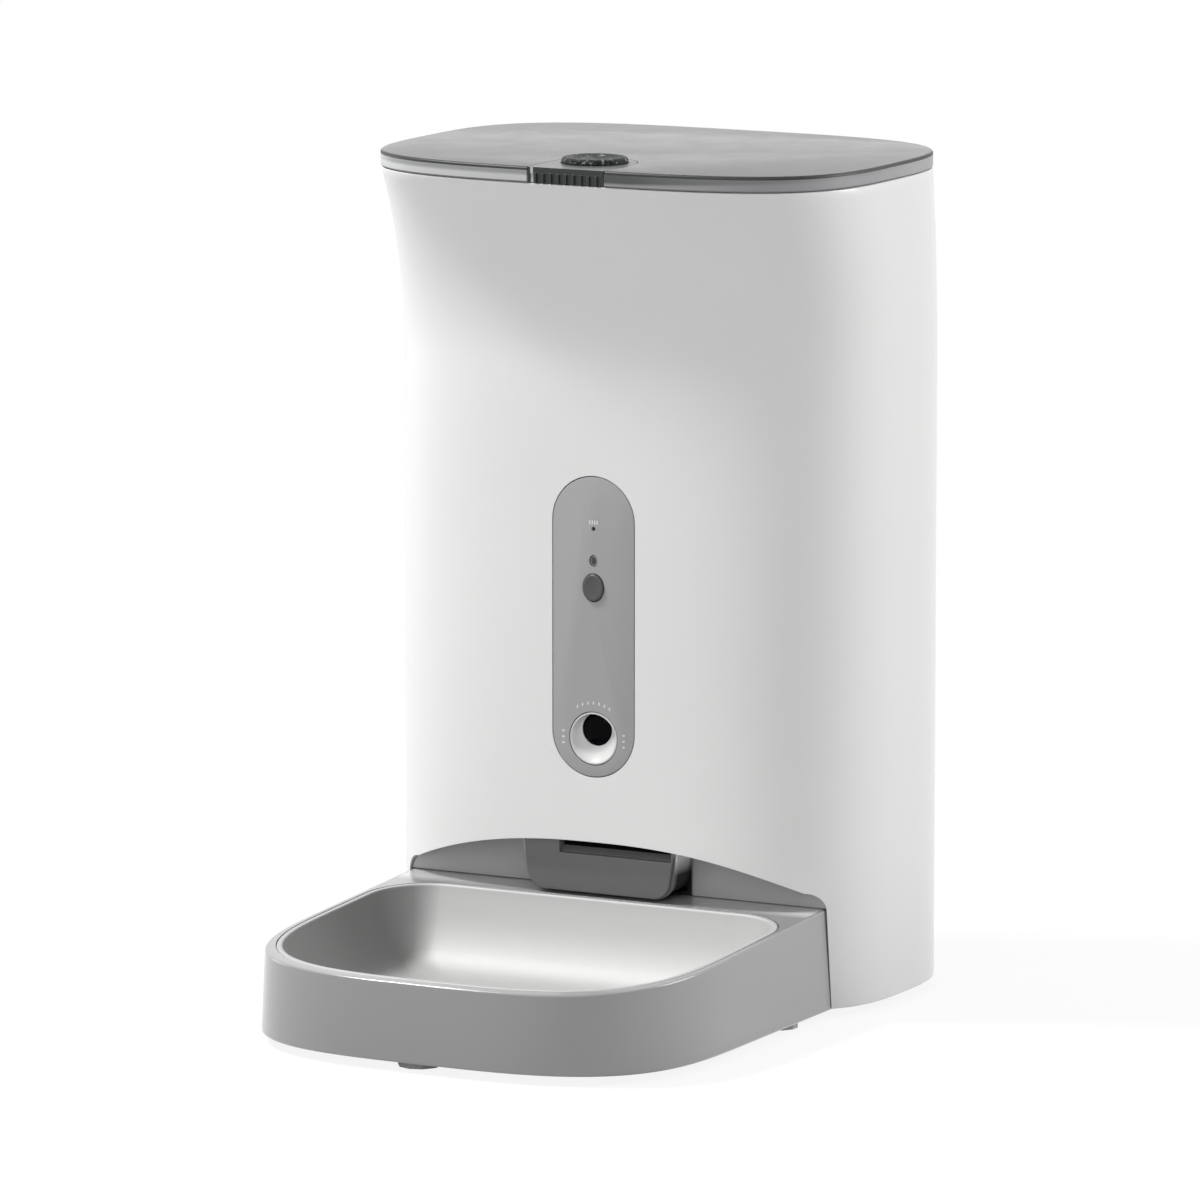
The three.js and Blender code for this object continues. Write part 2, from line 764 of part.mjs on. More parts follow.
function spoutFront(grow, bottom) {
  const quarter = Math.PI / 2;
  const low = spout.bottomHalfWidth + grow;
  const high = spout.halfWidth + grow;
  const radius = spout.cornerRadius + grow;
  const top = frame.bottom - gap;
  return [
    ...arcPoints(low - radius, bottom + radius, radius, -quarter, 0, facets.corner),
    [high, arch.height],
    [high, top],
    [-high, top],
    [-high, arch.height],
    ...arcPoints(-low + radius, bottom + radius, radius, 2 * quarter, 3 * quarter, facets.corner),
  ];
}

function buildChute() {
  const deck = rimAt(wallPanel.lift);
  const wallBottom = deck(0, wallPanel.front + wallPanel.thickness);
  const bodyFront = spout.face + cover.thickness + gap;
  const top = frame.bottom - gap;
  const surface = rampLine(0);
  const under = rampLine(-spout.ramp);
  const curtain = block(
    -wallPanel.halfWidth,
    wallPanel.halfWidth,
    wallPanel.front,
    wallPanel.front + wallPanel.thickness,
    wallBottom,
    wallPanel.top,
  );
  // The curtain's ends reach into the arch's lower corners
  const archFill = prismAlongY(archOutline(-gap).reverse(), wallPanel.front, wallPanel.front + wallPanel.thickness);
  const belowDeck = block(
    -shell.halfWidth,
    shell.halfWidth,
    wallPanel.front - overrun,
    wallPanel.front + overrun,
    -2 * overrun,
    wallBottom,
  );
  const body = prismAlongY(spoutFront(0, wallBottom), bodyFront, spout.back);
  const channel = (left, right) =>
    prismAlongX(
      [
        [bodyFront - overrun, surface(bodyFront - overrun)],
        [spout.back + overrun, surface(spout.back + overrun)],
        [spout.back + overrun, top + 2 * overrun],
        [bodyFront - overrun, top + 2 * overrun],
      ],
      left,
      right,
    );
  const blindPocket = prismAlongX(
    [
      [bodyFront + spout.wall, surface(bodyFront + spout.wall)],
      [spout.back + overrun, surface(spout.back + overrun)],
      [spout.back + overrun, top + 2 * overrun],
      [bodyFront + spout.wall, top + 2 * overrun],
    ],
    -spout.bottomHalfWidth + spout.wall,
    spout.slotLeft - spout.wall,
  );
  const lowInside = wallBottom + spout.wall;
  const underside = prismAlongX(
    [
      [bodyFront + spout.wall, lowInside],
      [spout.back + overrun, lowInside],
      [spout.back + overrun, under(spout.back + overrun)],
      [bodyFront + spout.wall, under(bodyFront + spout.wall)],
    ],
    -spout.bottomHalfWidth + spout.wall,
    spout.bottomHalfWidth - spout.wall,
  );
  const solid = join(cut(archFill, belowDeck), curtain, body);
  const geometry = cut(solid, channel(spout.slotLeft, spout.slotRight), blindPocket, underside);
  part('chute', geometry, materials.darkGrey);
}

function buildSpoutCover() {
  const bottom = rimAt(wallPanel.lift)(0, wallPanel.front);
  const plate = prismAlongY(
    spoutFront(-cover.inset, bottom + cover.inset / 2),
    spout.face,
    spout.face + cover.thickness,
  );
  const slot = block(
    spout.slotLeft,
    spout.slotRight,
    spout.face - overrun,
    spout.face + overrun,
    spout.sill,
    frame.bottom - cover.inset - overrun,
  );
  part('spout_cover', cut(plate, slot), materials.darkGrey);
}

// Mid frame: plate on four legs

function buildMidFrame() {
  const plate = prism(
    roundedRectangle(-frame.halfWidth, frame.halfWidth, frame.front, frame.back, frame.corner),
    frame.bottom,
    frame.top,
  );
  const legs = legPlaces().map(({ x, y }) => disc(frame.legRadius, x, y, bay.bottom, frame.top, facets.rod));
  const screwHoles = legPlaces().map(({ x, y }) =>
    disc(screw.shankRadius + screw.play, x, y, 0, bay.bottom + screw.length, facets.rod),
  );
  const openings = [
    block(outlet.left, outlet.right, outlet.front, outlet.back, frame.bottom - overrun, frame.top + overrun),
    disc(bush.radius + gap, 0, chamber.y, frame.bottom - overrun, frame.top + overrun, facets.rod),
    disc(motor.noseRadius + gap, gears.pinionX, chamber.y, frame.bottom - overrun, frame.top + overrun, facets.rod),
  ];
  part('mid_frame', cut(join(plate, ...legs), ...screwHoles, ...openings), materials.natural);
}

function buildScrews() {
  legPlaces().forEach(({ x, y }, i) => {
    const top = tray.bottom + screw.head;
    const head = disc(screw.headRadius, 0, 0, tray.bottom, top, facets.rod);
    const shank = disc(screw.shankRadius, 0, 0, tray.bottom, tray.bottom + screw.length, facets.rod);
    part(`base_screw_${i + 1}`, join(head, shank), materials.steel, x, y, 0);
  });
}

// Rotor chamber, baffle and rotor

function buildChamber() {
  const outer = chamber.radius + chamber.wall;
  const cup = cut(
    disc(outer, 0, chamber.y, chamber.bottom, chamber.top, facets.chamber),
    disc(chamber.radius, 0, chamber.y, chamber.floorTop, chamber.top + overrun, facets.chamber),
    block(outlet.left, outlet.right, outlet.front, outlet.back, chamber.bottom - overrun, chamber.floorTop + overrun),
    disc(shaft.radius + gap, 0, chamber.y, chamber.bottom - overrun, chamber.floorTop + overrun, facets.rod),
  );
  part('rotor_chamber', cup, materials.natural);

  const slice = block(-outer, outer, chamber.y - outer, baffle.reach, baffle.top - baffle.thickness, baffle.top);
  const round = disc(
    chamber.radius - gap,
    0,
    chamber.y,
    baffle.top - baffle.thickness - overrun,
    baffle.top + overrun,
    facets.chamber,
  );
  part('outlet_baffle', overlapOf(slice, round), materials.natural);
}

function buildRotor() {
  const tip = chamber.radius * Math.cos(Math.PI / facets.chamber) - rotor.tipClearance;
  const hub = disc(rotor.hubRadius, 0, 0, rotor.bottom, rotor.top);
  const vanes = [];
  for (let i = 0; i < rotor.vanes; i++) {
    const vane = block(0, tip, -rotor.vane / 2, rotor.vane / 2, rotor.bottom, rotor.top - rotor.vane);
    vanes.push(vane.rotateZ(((i + 1 / 2) / rotor.vanes) * 2 * Math.PI));
  }
  const bore = disc(shaft.radius + gap, 0, 0, rotor.bottom - overrun, rotor.top + overrun, facets.rod);
  part('rotor_wheel', cut(join(hub, ...vanes), bore), materials.silicone, 0, chamber.y, 0);

  const low = chamber.top + agitator.lift;
  const high = low + agitator.hubHeight;
  const arm = rodAlongX(agitator.armRadius, 0, low + agitator.rise, -agitator.armLength, agitator.armLength);
  const paddle = cut(
    join(disc(agitator.hubRadius, 0, 0, low, high), arm),
    disc(shaft.radius + gap, 0, 0, low - overrun, high + overrun, facets.rod),
  );
  part('agitator', paddle, materials.natural, 0, chamber.y, 0);

  const bottom = gearbox.bottom + gearbox.floor + gap;
  part('drive_shaft', disc(shaft.radius, 0, 0, bottom, shaft.top, facets.rod), materials.steel, 0, chamber.y, 0);
  const ring = cut(
    disc(bush.radius, 0, 0, frame.bottom, frame.top, facets.rod),
    disc(shaft.radius + gap, 0, 0, frame.bottom - overrun, frame.top + overrun, facets.rod),
  );
  part('shaft_bush', ring, materials.acetal, 0, chamber.y, 0);
}

// Spur gears with involute tooth thickness at root and tip

function involute(angle) {
  return Math.tan(angle) - angle;
}

function gearOutline(teeth, phase) {
  const pitch = (teeth * gears.module) / 2;
  const base = pitch * Math.cos(gears.pressureAngle);
  const root = pitch - gears.dedendum;
  const tip = pitch + gears.addendum;
  const halfPitchAngle = (Math.PI * gears.module - gears.backlash) / 4 / pitch;
  const halfAngleAt = (radius) =>
    halfPitchAngle + involute(gears.pressureAngle) - involute(Math.acos(Math.min(1, base / radius)));
  const points = [];
  for (let i = 0; i < teeth; i++) {
    const middle = ((i + phase) / teeth) * 2 * Math.PI;
    for (const [radius, side] of [[root, -1], [tip, -1], [tip, 1], [root, 1]]) {
      const angle = middle + side * halfAngleAt(radius);
      points.push([radius * Math.cos(angle), radius * Math.sin(angle)]);
    }
  }
  return points;
}

function gearWheel(teeth, phase, boreRadius) {
  const top = gearbox.gearBottom + gears.face;
  const wheel = prism(gearOutline(teeth, phase), gearbox.gearBottom, top);
  return cut(wheel, disc(boreRadius, 0, 0, gearbox.gearBottom - overrun, top + overrun, facets.rod));
}

function buildGears() {
  part('output_gear', gearWheel(gears.outputTeeth, 0, shaft.radius + gap), materials.acetal, 0, chamber.y, 0);
  part('idler_gear', gearWheel(gears.idlerTeeth, 0, axle.radius + gap), materials.acetal, gears.idlerX, chamber.y, 0);
  const axleBottom = gearbox.bottom + gearbox.floor + gap;
  const axleRod = disc(axle.radius, 0, 0, axleBottom, gearbox.coverBottom - gap, facets.rod);
  part('idler_axle', axleRod, materials.steel, gears.idlerX, chamber.y, 0);

  const top = gearbox.gearBottom + gears.face;
  const wheel = prism(gearOutline(gears.pinionTeeth, 1 / 2), gearbox.gearBottom, top);
  const shaftRod = disc(motor.shaftRadius, 0, 0, gearbox.gearBottom, frame.top + motor.shaftDepth, facets.rod);
  part('motor_pinion', join(wheel, shaftRod), materials.brass, gears.pinionX, chamber.y, 0);
}

function gearboxOutline(grow) {
  const tipOf = (teeth) => (teeth * gears.module) / 2 + gears.addendum + gearbox.tipClearance + grow;
  const half = tipOf(gears.outputTeeth);
  return roundedRectangle(
    -half,
    gears.pinionX + tipOf(gears.pinionTeeth),
    chamber.y - half,
    chamber.y + half,
    gearbox.corner,
  );
}

function buildGearbox() {
  const floorTop = gearbox.bottom + gearbox.floor;
  const tub = cut(
    prism(gearboxOutline(gearbox.wall), gearbox.bottom, gearbox.coverBottom - gap),
    prism(gearboxOutline(0), floorTop, gearbox.coverBottom + overrun),
  );
  const boss = (x, radius) =>
    cut(
      disc(radius + gearbox.wall, x, chamber.y, floorTop - gap, gearbox.gearBottom - gap, facets.rod),
      disc(radius + gap, x, chamber.y, floorTop, gearbox.gearBottom + overrun, facets.rod),
    );
  const housing = join(tub, boss(0, shaft.radius), boss(gears.idlerX, axle.radius));
  part('gearbox_housing', housing, materials.darkGrey);

  const lidPlate = cut(
    prism(gearboxOutline(gearbox.wall), gearbox.coverBottom, gearbox.coverTop),
    disc(shaft.radius + gap, 0, chamber.y, 0, frame.top, facets.rod),
    disc(motor.noseRadius + gap, gears.pinionX, chamber.y, 0, frame.top, facets.rod),
  );
  part('gearbox_cover', lidPlate, materials.darkGrey);
}

function buildMotor() {
  const low = frame.top + gap;
  const high = low + motor.height;
  const can = disc(motor.radius, 0, 0, low, high);
  const nose = disc(motor.noseRadius, 0, 0, gearbox.coverBottom, low + motor.cap, facets.rod);
  const cap = disc(motor.radius - motor.cap, 0, 0, high - motor.cap, high + motor.cap);
  const tabs = [-1, 1].map((side) => {
    const x = side * motor.noseRadius;
    return block(x, x + motor.terminal, -motor.cap / 2, motor.cap / 2, high, high + motor.cap + motor.terminal / 2);
  });
  const bore = disc(
    motor.shaftRadius + gap,
    0,
    0,
    gearbox.coverBottom - overrun,
    frame.top + motor.shaftDepth + gap,
    facets.rod,
  );
  part('motor', cut(join(can, nose, cap, ...tabs), bore), materials.steel, gears.pinionX, chamber.y, 0);
}

// Hopper: round at the rotor, then widening to follow the shell

function hopperOutline(z, inset) {
  const { clearance, wall } = hopper;
  const seat = superOutline(
    chamber.radius + chamber.wall,
    chamber.y - chamber.radius - chamber.wall,
    chamber.y + chamber.radius + chamber.wall,
    2,
    inset,
    facets.hopper,
  );
  if (z <= hopper.bottom) return seat;
  const inFromShell = shell.wall + clearance;
  if (z >= hopper.flareJoin) return shellOutline(z, inFromShell + inset, facets.hopper);
  const back = shell.back - inFromShell;
  return superOutline(hopper.lowHalfWidth, hopper.lowFront + wall / 2, back, hopper.exponent, inset, facets.hopper);
}

function buildHopper() {
  const top = shell.top - hopper.topDrop;
  const flare = shellLevels().filter((z) => z > hopper.flareJoin && z < top);
  const levels = [hopper.bottom, hopper.funnelTop, hopper.straightTop, hopper.flareJoin, ...flare, top];
  const outer = levels.map((z) => raise(hopperOutline(z, 0), z));
  const inner = levels.map((z) => raise(hopperOutline(z, hopper.wall), z)).reverse();
  part('hopper', loft([...outer, ...inner], true), materials.natural);
}

// Front panel with the light, microphone and button holes

function buildFrontPanel() {
  const back = shell.front + panel.thickness;
  const through = [shell.front - overrun, back + overrun];
  const plate = prismAlongY(capsule(0), shell.front, back);
  const posts = [-1, 1].flatMap((side) =>
    [post.low, post.high].map((z) =>
      rodAlongY(post.radius, side * post.x, z, back - gap, frontBoard.front - gap, facets.rod),
    ),
  );
  const holes = [
    prismAlongY(ellipse(feedButton.halfWidth + gap, feedButton.halfHeight + gap, feedButton.height), ...through),
    prismAlongY(ellipse(led.halfWidth + gap, led.halfHeight + gap, led.height), ...through),
    rodAlongY(microphone.holeRadius, 0, microphone.height, ...through, facets.rod),
    rodAlongY(camera.ringRadius + gap, 0, camera.ringHeight, ...through),
  ];
  part('front_panel', cut(join(plate, ...posts), ...holes), materials.panelGrey);
}

function buildFrontElectronics() {
  const { front, thickness, halfWidth, bottom, top } = frontBoard;
  part('front_board', block(-halfWidth, halfWidth, front, front + thickness, bottom, top), materials.board);

  const lampEnd = front - gap;
  const lamp = prismAlongY(ellipse(led.halfWidth, led.halfHeight, 0), shell.front + led.sink, lampEnd);
  part('status_led', lamp, materials.lamp, 0, 0, led.height);

  const capsuleBody = rodAlongY(microphone.radius, 0, 0, lampEnd - microphone.length, lampEnd, facets.rod);
  part('microphone', capsuleBody, materials.steel, 0, 0, microphone.height);

  const half = pushSwitch.size / 2;
  const switchBody = block(-half, half, lampEnd - pushSwitch.thickness, lampEnd, -half, half);
  part('push_switch', switchBody, materials.black, 0, 0, feedButton.height);

  const flangeFront = shell.front + panel.thickness + gap;
  const cap = prismAlongY(
    ellipse(feedButton.halfWidth, feedButton.halfHeight, 0),
    shell.front - feedButton.proud,
    flangeFront + feedButton.flangeThickness,
  );
  const flange = prismAlongY(
    ellipse(feedButton.halfWidth + feedButton.flange, feedButton.halfHeight + feedButton.flange, 0),
    flangeFront,
    flangeFront + feedButton.flangeThickness,
  );
  part('feed_button', join(cap, flange), materials.black, 0, 0, feedButton.height);
}

// Camera: an off-centre funnel in a round bezel, a glass, a barrel and its board

function buildCamera() {
  const lensOffset = camera.lensHeight - camera.ringHeight;
  const circle = (radius, offset, depth) =>
    arcPoints(0, offset, radius, 0, 2 * Math.PI, facets.disc)
      .slice(0, -1)
      .map(([x, y]) => new THREE.Vector3(x, y, -depth));
  const bezel = loft(
    [
      circle(camera.ringRadius, 0, camera.ringDepth),
      circle(camera.ringRadius, 0, 0),
      circle(camera.funnelMouth, 0, 0),
      circle(camera.lensRadius, lensOffset, camera.funnelDepth),
      circle(camera.lensRadius, lensOffset, camera.ringDepth),
    ],
    true,
  ).rotateX(Math.PI / 2);
  part('camera_bezel', bezel, materials.white, 0, shell.front, camera.ringHeight);

  const glassFront = shell.front + camera.funnelDepth;
  const glassBack = glassFront + camera.glass;
  const glass = new THREE.LatheGeometry(
    [
      new THREE.Vector2(0, -camera.glass),
      new THREE.Vector2(camera.lensRadius - gap, -camera.glass),
      new THREE.Vector2(camera.lensRadius - gap, 0),
      new THREE.Vector2(camera.barrelRadius / 2, camera.dome * (3 / 4)),
      new THREE.Vector2(0, camera.dome),
    ],
    facets.disc,
  );
  glass.rotateX(Math.PI);
  part('camera_lens', glass, materials.glass, 0, glassFront, camera.lensHeight);

  const barrel = rodAlongY(camera.barrelRadius, 0, 0, glassBack + gap, camera.barrelBack);
  part('camera_barrel', barrel, materials.black, 0, 0, camera.lensHeight);
  const boardFront = camera.barrelBack + gap;
  const { boardHalfWidth, board, boardBottom, boardTop } = camera;
  part(
    'camera_board',
    block(-boardHalfWidth, boardHalfWidth, boardFront, boardFront + board, boardBottom, boardTop),
    materials.board,
  );
}

// Speaker and power inlet at the back

function buildSpeaker() {
  const { radius, depth, cone, rim } = speaker;
  const profile = [
    [0, -depth],
    [radius / 2, -depth],
    [radius / 2, -cone],
    [radius, -rim],
    [radius, 0],
    [radius - rim, 0],
    [radius / 3, -cone / 2],
    [0, -cone / 2 + rim / 2],
  ];
  const body = new THREE.LatheGeometry(profile.map(([r, h]) => new THREE.Vector2(r, h)), facets.disc);
  part('speaker', body, materials.black, speaker.x, speaker.back, speaker.height);
}

function buildJack() {
  const { x, halfWidth, front, back, height, noseRadius, noseEnd, bore } = jack;
  const body = block(x - halfWidth, x + halfWidth, front, back, bay.bottom, bay.bottom + height);
  const nose = rodAlongY(noseRadius, x, jackHeight, back - gap, noseEnd);
  const hole = rodAlongY(bore, x, jackHeight, front + noseRadius, noseEnd + overrun, facets.rod);
  part('dc_jack', cut(join(body, nose), hole), materials.black);
}

// Battery bay, its contacts and the main board on its roof

function bayPosts() {
  return [-1, 1].flatMap((side) =>
    [bay.front + bay.postInset, bay.back - bay.postInset].map((y) => [side * (bay.halfWidth - bay.postInset), y]),
  );
}

function buildBay() {
  const { halfWidth, front, back, wall, bottom, top } = bay;
  const shellBox = cut(
    block(-halfWidth, halfWidth, front, back, bottom, top),
    block(-halfWidth + wall, halfWidth - wall, front + wall, back - wall, bottom - overrun, top - wall),
  );
  const posts = bayPosts().map(([x, y]) => disc(bay.postRadius, x, y, top - gap, top + bay.post, facets.rod));
  part('battery_bay', join(shellBox, ...posts), materials.natural);

  for (const [name, y, side] of [
    ['battery_contact_front', front + wall + gap, 1],
    ['battery_contact_rear', back - wall - gap, -1],
  ]) {
    const sheet = (from, to) => [Math.min(y + side * from, y + side * to), Math.max(y + side * from, y + side * to)];
    const strip = block(
      -contact.halfWidth,
      contact.halfWidth,
      ...sheet(0, contact.thickness),
      contact.bottom,
      contact.top,
    );
    const middle = (contact.bottom + contact.top) / 2;
    const leaves = spread(contact.leaves, contact.pitch).map((x) =>
      block(
        x - contact.leafWidth / 2,
        x + contact.leafWidth / 2,
        ...sheet(0, contact.leaf),
        middle - contact.thickness,
        middle + contact.thickness,
      ),
    );
    part(name, join(strip, ...leaves), materials.steel);
  }
}

function buildMainBoard() {
  const { halfWidth, front, back, thickness, bottom } = mainBoard;
  const top = bottom + thickness;
  const sheet = block(-halfWidth, halfWidth, front, back, bottom, top);
  const chip = 12;
  const chipHeight = 1.6;
  const capacitorRadius = 4;
  const capacitorHeight = 9;
  const middle = (front + back) / 2;
  const parts = [
    block(-chip, 0, middle, middle + chip, bottom, top + chipHeight),
    block(chip, 2 * chip, middle - chip, middle, bottom, top + chipHeight),
    disc(capacitorRadius, -2 * chip, middle, bottom, top + capacitorHeight, facets.rod),
    disc(capacitorRadius, -3 * chip, middle, bottom, top + capacitorHeight, facets.rod),
  ];
  part('main_board', join(sheet, ...parts), materials.board);
}

// Lid panel: a smoked plate with a rim, cut out for the latch bezel and the hinge arms

function lidOutline(inset) {
  return superOutline(shell.topHalfWidth, shellFrontAt(shell.top), shell.back, lid.exponent, inset, facets.body);
}

function bezelOutline(grow) {
  const radius = latch.halfWidth + grow;
  const front = shellFrontAt(shell.top) - overrun;
  return [[radius, front], ...arcPoints(0, latch.buttonY, radius, 0, Math.PI, 2 * facets.corner), [-radius, front]];
}

function buildLid() {
  const solid = loft([
    raise(lidOutline(0), lid.bottom),
    raise(lidOutline(0), lid.top - lid.edge),
    raise(lidOutline(lid.edge), lid.top),
  ]);
  const hollow = loft([
    raise(lidOutline(lid.rim), lid.bottom - overrun),
    raise(lidOutline(lid.rim), lid.top - lid.plate),
  ]);
  const notches = [-1, 1].map((side) => {
    const half = hinge.armWidth / 2 + gap;
    const x = side * hinge.x;
    return block(
      x - half,
      x + half,
      shell.back - hinge.armReach,
      shell.back + overrun,
      lid.bottom - overrun,
      lidFrame.top + gap,
    );
  });
  const bezelCut = prism(bezelOutline(gap), lid.bottom - overrun, lid.top + overrun);
  part('lid_panel', cut(solid, hollow, bezelCut, ...notches), materials.smoke);
}

function buildLidFrame() {
  const { bottom, top, skirtInset, skirtWall, skirtBottom } = lidFrame;
  const plate = prism(lidOutline(lid.rim + gap), bottom, top);
  const boltGate = [-bolt.halfWidth - gap, bolt.halfWidth + gap, bolt.nose - overrun, bolt.nose + 2 * overrun];
  const skirt = cut(
    prism(shellOutline(skirtBottom, skirtInset), skirtBottom, bottom + gap),
    prism(shellOutline(skirtBottom, skirtInset + skirtWall), skirtBottom - overrun, bottom),
    block(...boltGate, bolt.bottom - gap, bolt.top + gap),
  );
  const arms = [-1, 1].map((side) => {
    const half = hinge.armWidth / 2;
    const x = side * hinge.x;
    const armTop = lidFrame.top;
    return join(
      block(x - half, x + half, shell.back - hinge.armReach, hinge.y, bottom, armTop),
      rodAlongX(hinge.knuckleRadius, hinge.y, hinge.z, x - half, x + half),
      block(x - half, x + half, hinge.y, hinge.y + hinge.knuckleRadius, hinge.z, armTop),
    );
  });
  const bores = [-1, 1].map((side) =>
    rodAlongX(hinge.boreRadius, hinge.y, hinge.z, ...earSpan(side, overrun)),
  );
  const railBottom = bolt.bottom - gap - rail.foot;
  const railFront = shellFrontAt(skirtBottom) + skirtInset;
  const railBack = railFront + rail.length;
  const railIn = bolt.halfWidth + gap;
  const rails = [-1, 1].map((side) => {
    const near = side * railIn;
    const far = side * (railIn + rail.thickness);
    const lip = side * (railIn - rail.foot);
    return join(
      block(Math.min(near, far), Math.max(near, far), railFront, railBack, railBottom, bottom + gap),
      block(Math.min(lip, far), Math.max(lip, far), railFront, railBack, railBottom, railBottom + rail.foot),
    );
  });
  const hole = disc(latch.stemRadius + gap, 0, latch.buttonY, bottom - overrun, top + overrun, facets.rod);
  part('lid_frame', cut(join(plate, skirt, ...arms, ...rails), hole, ...bores), materials.grey);
}

function buildSeal() {
  const low = lidFrame.skirtBottom + gap;
  const outer = shellOutline(low, seal.inset);
  const inner = shellOutline(low, seal.inset + seal.thickness);
  const high = low + seal.height;
  const ring = loft([raise(outer, low), raise(outer, high), raise(inner, high), raise(inner, low)], true);
  part('lid_seal', ring, materials.silicone);
}

function hopperFaceAt(z) {
  return shellFrontAt(z) + shell.wall + hopper.clearance + hopper.wall + gap;
}

keeper.bottom = bolt.top + gap;
keeper.front = hopperFaceAt(keeper.bottom);
bolt.nose = keeper.front + keeper.lip + bolt.noseBack;

function buildLatch() {
  const front = shellFrontAt(shell.top);
  const plateTop = lid.top;
  const plateBottom = lidFrame.top + gap;
  const plate = prism(bezelOutline(0), plateBottom, plateTop);
  const trimmed = overlapOf(plate, prism(lidOutline(0), lid.bottom - overrun, lid.top + overrun));
  const tab = overlapOf(
    block(-latch.halfWidth, latch.halfWidth, front - overrun, front + latch.tab, lid.bottom, lid.top),
    prism(lidOutline(latch.rib), lid.bottom - overrun, lid.top + overrun),
  );
  const ribs = spread(latch.ribs, (2 * latch.halfWidth) / (latch.ribs + 1)).map((x) =>
    block(x - latch.rib, x + latch.rib, front - latch.rib / 2, front + latch.tab, lid.bottom, plateBottom + gap),
  );
  const hole = disc(latch.buttonRadius + gap, 0, latch.buttonY, lid.bottom, lid.top + overrun);
  part('latch_bezel', cut(join(trimmed, tab, ...ribs), hole), materials.darkGrey);

  const capBottom = lidFrame.top + latch.travel + gap;
  const cap = disc(latch.buttonRadius, 0, 0, capBottom, lid.top + latch.proud);
  const stem = disc(latch.stemRadius, 0, 0, bolt.top, capBottom + gap, facets.rod);
  part('latch_button', join(cap, stem), materials.black, 0, latch.buttonY, 0);

  const windowFront = latch.buttonY - latch.stemRadius - latch.travel - gap;
  const windowBack = latch.buttonY + latch.stemRadius + gap;
  const slide = cut(
    block(-bolt.halfWidth, bolt.halfWidth, bolt.nose, bolt.nose + bolt.length, bolt.bottom, bolt.top),
    block(-bolt.windowHalf, bolt.windowHalf, windowFront, windowBack, bolt.bottom - overrun, bolt.top + overrun),
  );
  part('latch_bolt', slide, materials.acetal);

  const side = [-keeper.halfWidth, keeper.halfWidth];
  const bracket = join(
    block(...side, keeper.front, keeper.front + keeper.plate, keeper.bottom, keeper.bottom + keeper.height),
    block(...side, keeper.front, keeper.front + keeper.lip, keeper.bottom, keeper.bottom + keeper.lipThickness),
  );
  part('latch_keeper', bracket, materials.steel);
}

function buildDesiccantBox() {
  const { halfWidth, front, back, height, wall, slots, slot } = desiccant;
  const top = lidFrame.bottom - gap;
  const box = cut(
    block(-halfWidth, halfWidth, front, back, top - height, top),
    block(-halfWidth + wall, halfWidth - wall, front + wall, back - wall, top - height + wall, top - wall),
    ...spread(slots, (2 * halfWidth) / (slots + 1)).map((x) =>
      block(x - slot / 2, x + slot / 2, front + 2 * wall, back - 2 * wall, top - height - overrun, top - height / 2),
    ),
  );
  part('desiccant_box', box, materials.natural);
}

// Feet under the base plate

function buildFeet() {
  const places = [
    ['foot_front', foot.frontX, foot.frontY, foot.frontRadius],
    ['foot_left', -foot.sideX, foot.sideY, foot.radius],
    ['foot_right', foot.sideX, foot.sideY, foot.radius],
    ['foot_rear_left', -foot.rearSpread, foot.rearY, foot.radius],
    ['foot_rear_right', foot.rearSpread, foot.rearY, foot.radius],
  ];
  for (const [name, x, y, radius] of places) {
    part(name, disc(radius, 0, 0, 0, foot.height, facets.rod), materials.rubber, x, y, 0);
  }
}

buildShell();
buildHingePins();
buildTray();
buildBowl();
buildBasePlate();
buildDoor();
buildChute();
buildSpoutCover();
buildMidFrame();
buildScrews();
buildChamber();
buildRotor();
buildGears();
buildGearbox();
buildMotor();
buildHopper();
buildFrontPanel();
buildFrontElectronics();
buildCamera();
buildSpeaker();
buildJack();
buildBay();
buildMainBoard();
buildLid();
buildLidFrame();
buildSeal();
buildLatch();
buildDesiccantBox();
buildFeet();

// The footprint runs from the front of the tray to the back of the hinge
const rearmost = hinge.y + hinge.knuckleRadius;
feeder.position.y = -(tray.front + rearmost) / 2;

export default feeder;
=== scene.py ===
import math

import bmesh
import bpy
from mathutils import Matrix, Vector


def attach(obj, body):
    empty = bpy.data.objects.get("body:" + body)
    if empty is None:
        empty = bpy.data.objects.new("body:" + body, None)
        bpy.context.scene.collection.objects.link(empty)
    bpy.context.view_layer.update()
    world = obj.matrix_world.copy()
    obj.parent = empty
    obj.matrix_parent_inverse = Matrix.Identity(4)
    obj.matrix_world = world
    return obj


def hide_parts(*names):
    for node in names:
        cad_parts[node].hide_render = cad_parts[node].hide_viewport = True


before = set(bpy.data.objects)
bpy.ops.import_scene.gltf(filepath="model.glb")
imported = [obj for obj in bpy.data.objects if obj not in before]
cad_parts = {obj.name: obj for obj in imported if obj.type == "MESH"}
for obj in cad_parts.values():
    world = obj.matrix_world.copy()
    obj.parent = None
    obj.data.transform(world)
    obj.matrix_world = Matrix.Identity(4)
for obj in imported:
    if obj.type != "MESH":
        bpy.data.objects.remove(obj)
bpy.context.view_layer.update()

# Sizes are in millimetres and follow the CAD, whose rotor turns at y 67. The frame lies 2.9 further forward.
MM = 0.001
SHIFT = Vector((0, -2.9, 0))
GAP = 0.3
BEYOND = 6.0  # how far a cutting tool reaches past what it cuts


def place(x, y, z):
    return (Vector((x, y, z)) + SHIFT) * MM


# Sizes of the shell, its flare and what is cut in it

SHELL_HALF, SHELL_FRONT, SHELL_BACK, SHELL_WALL, SHELL_EDGE = 98.0, 5.9, 127.4, 2.5, 0.7
SHELL_BOTTOM, SHELL_TOP, FLARE_BOTTOM, OVERHANG, TOP_DRAFT = 3.8, 305.2, 235.0, 21.8, 1.0
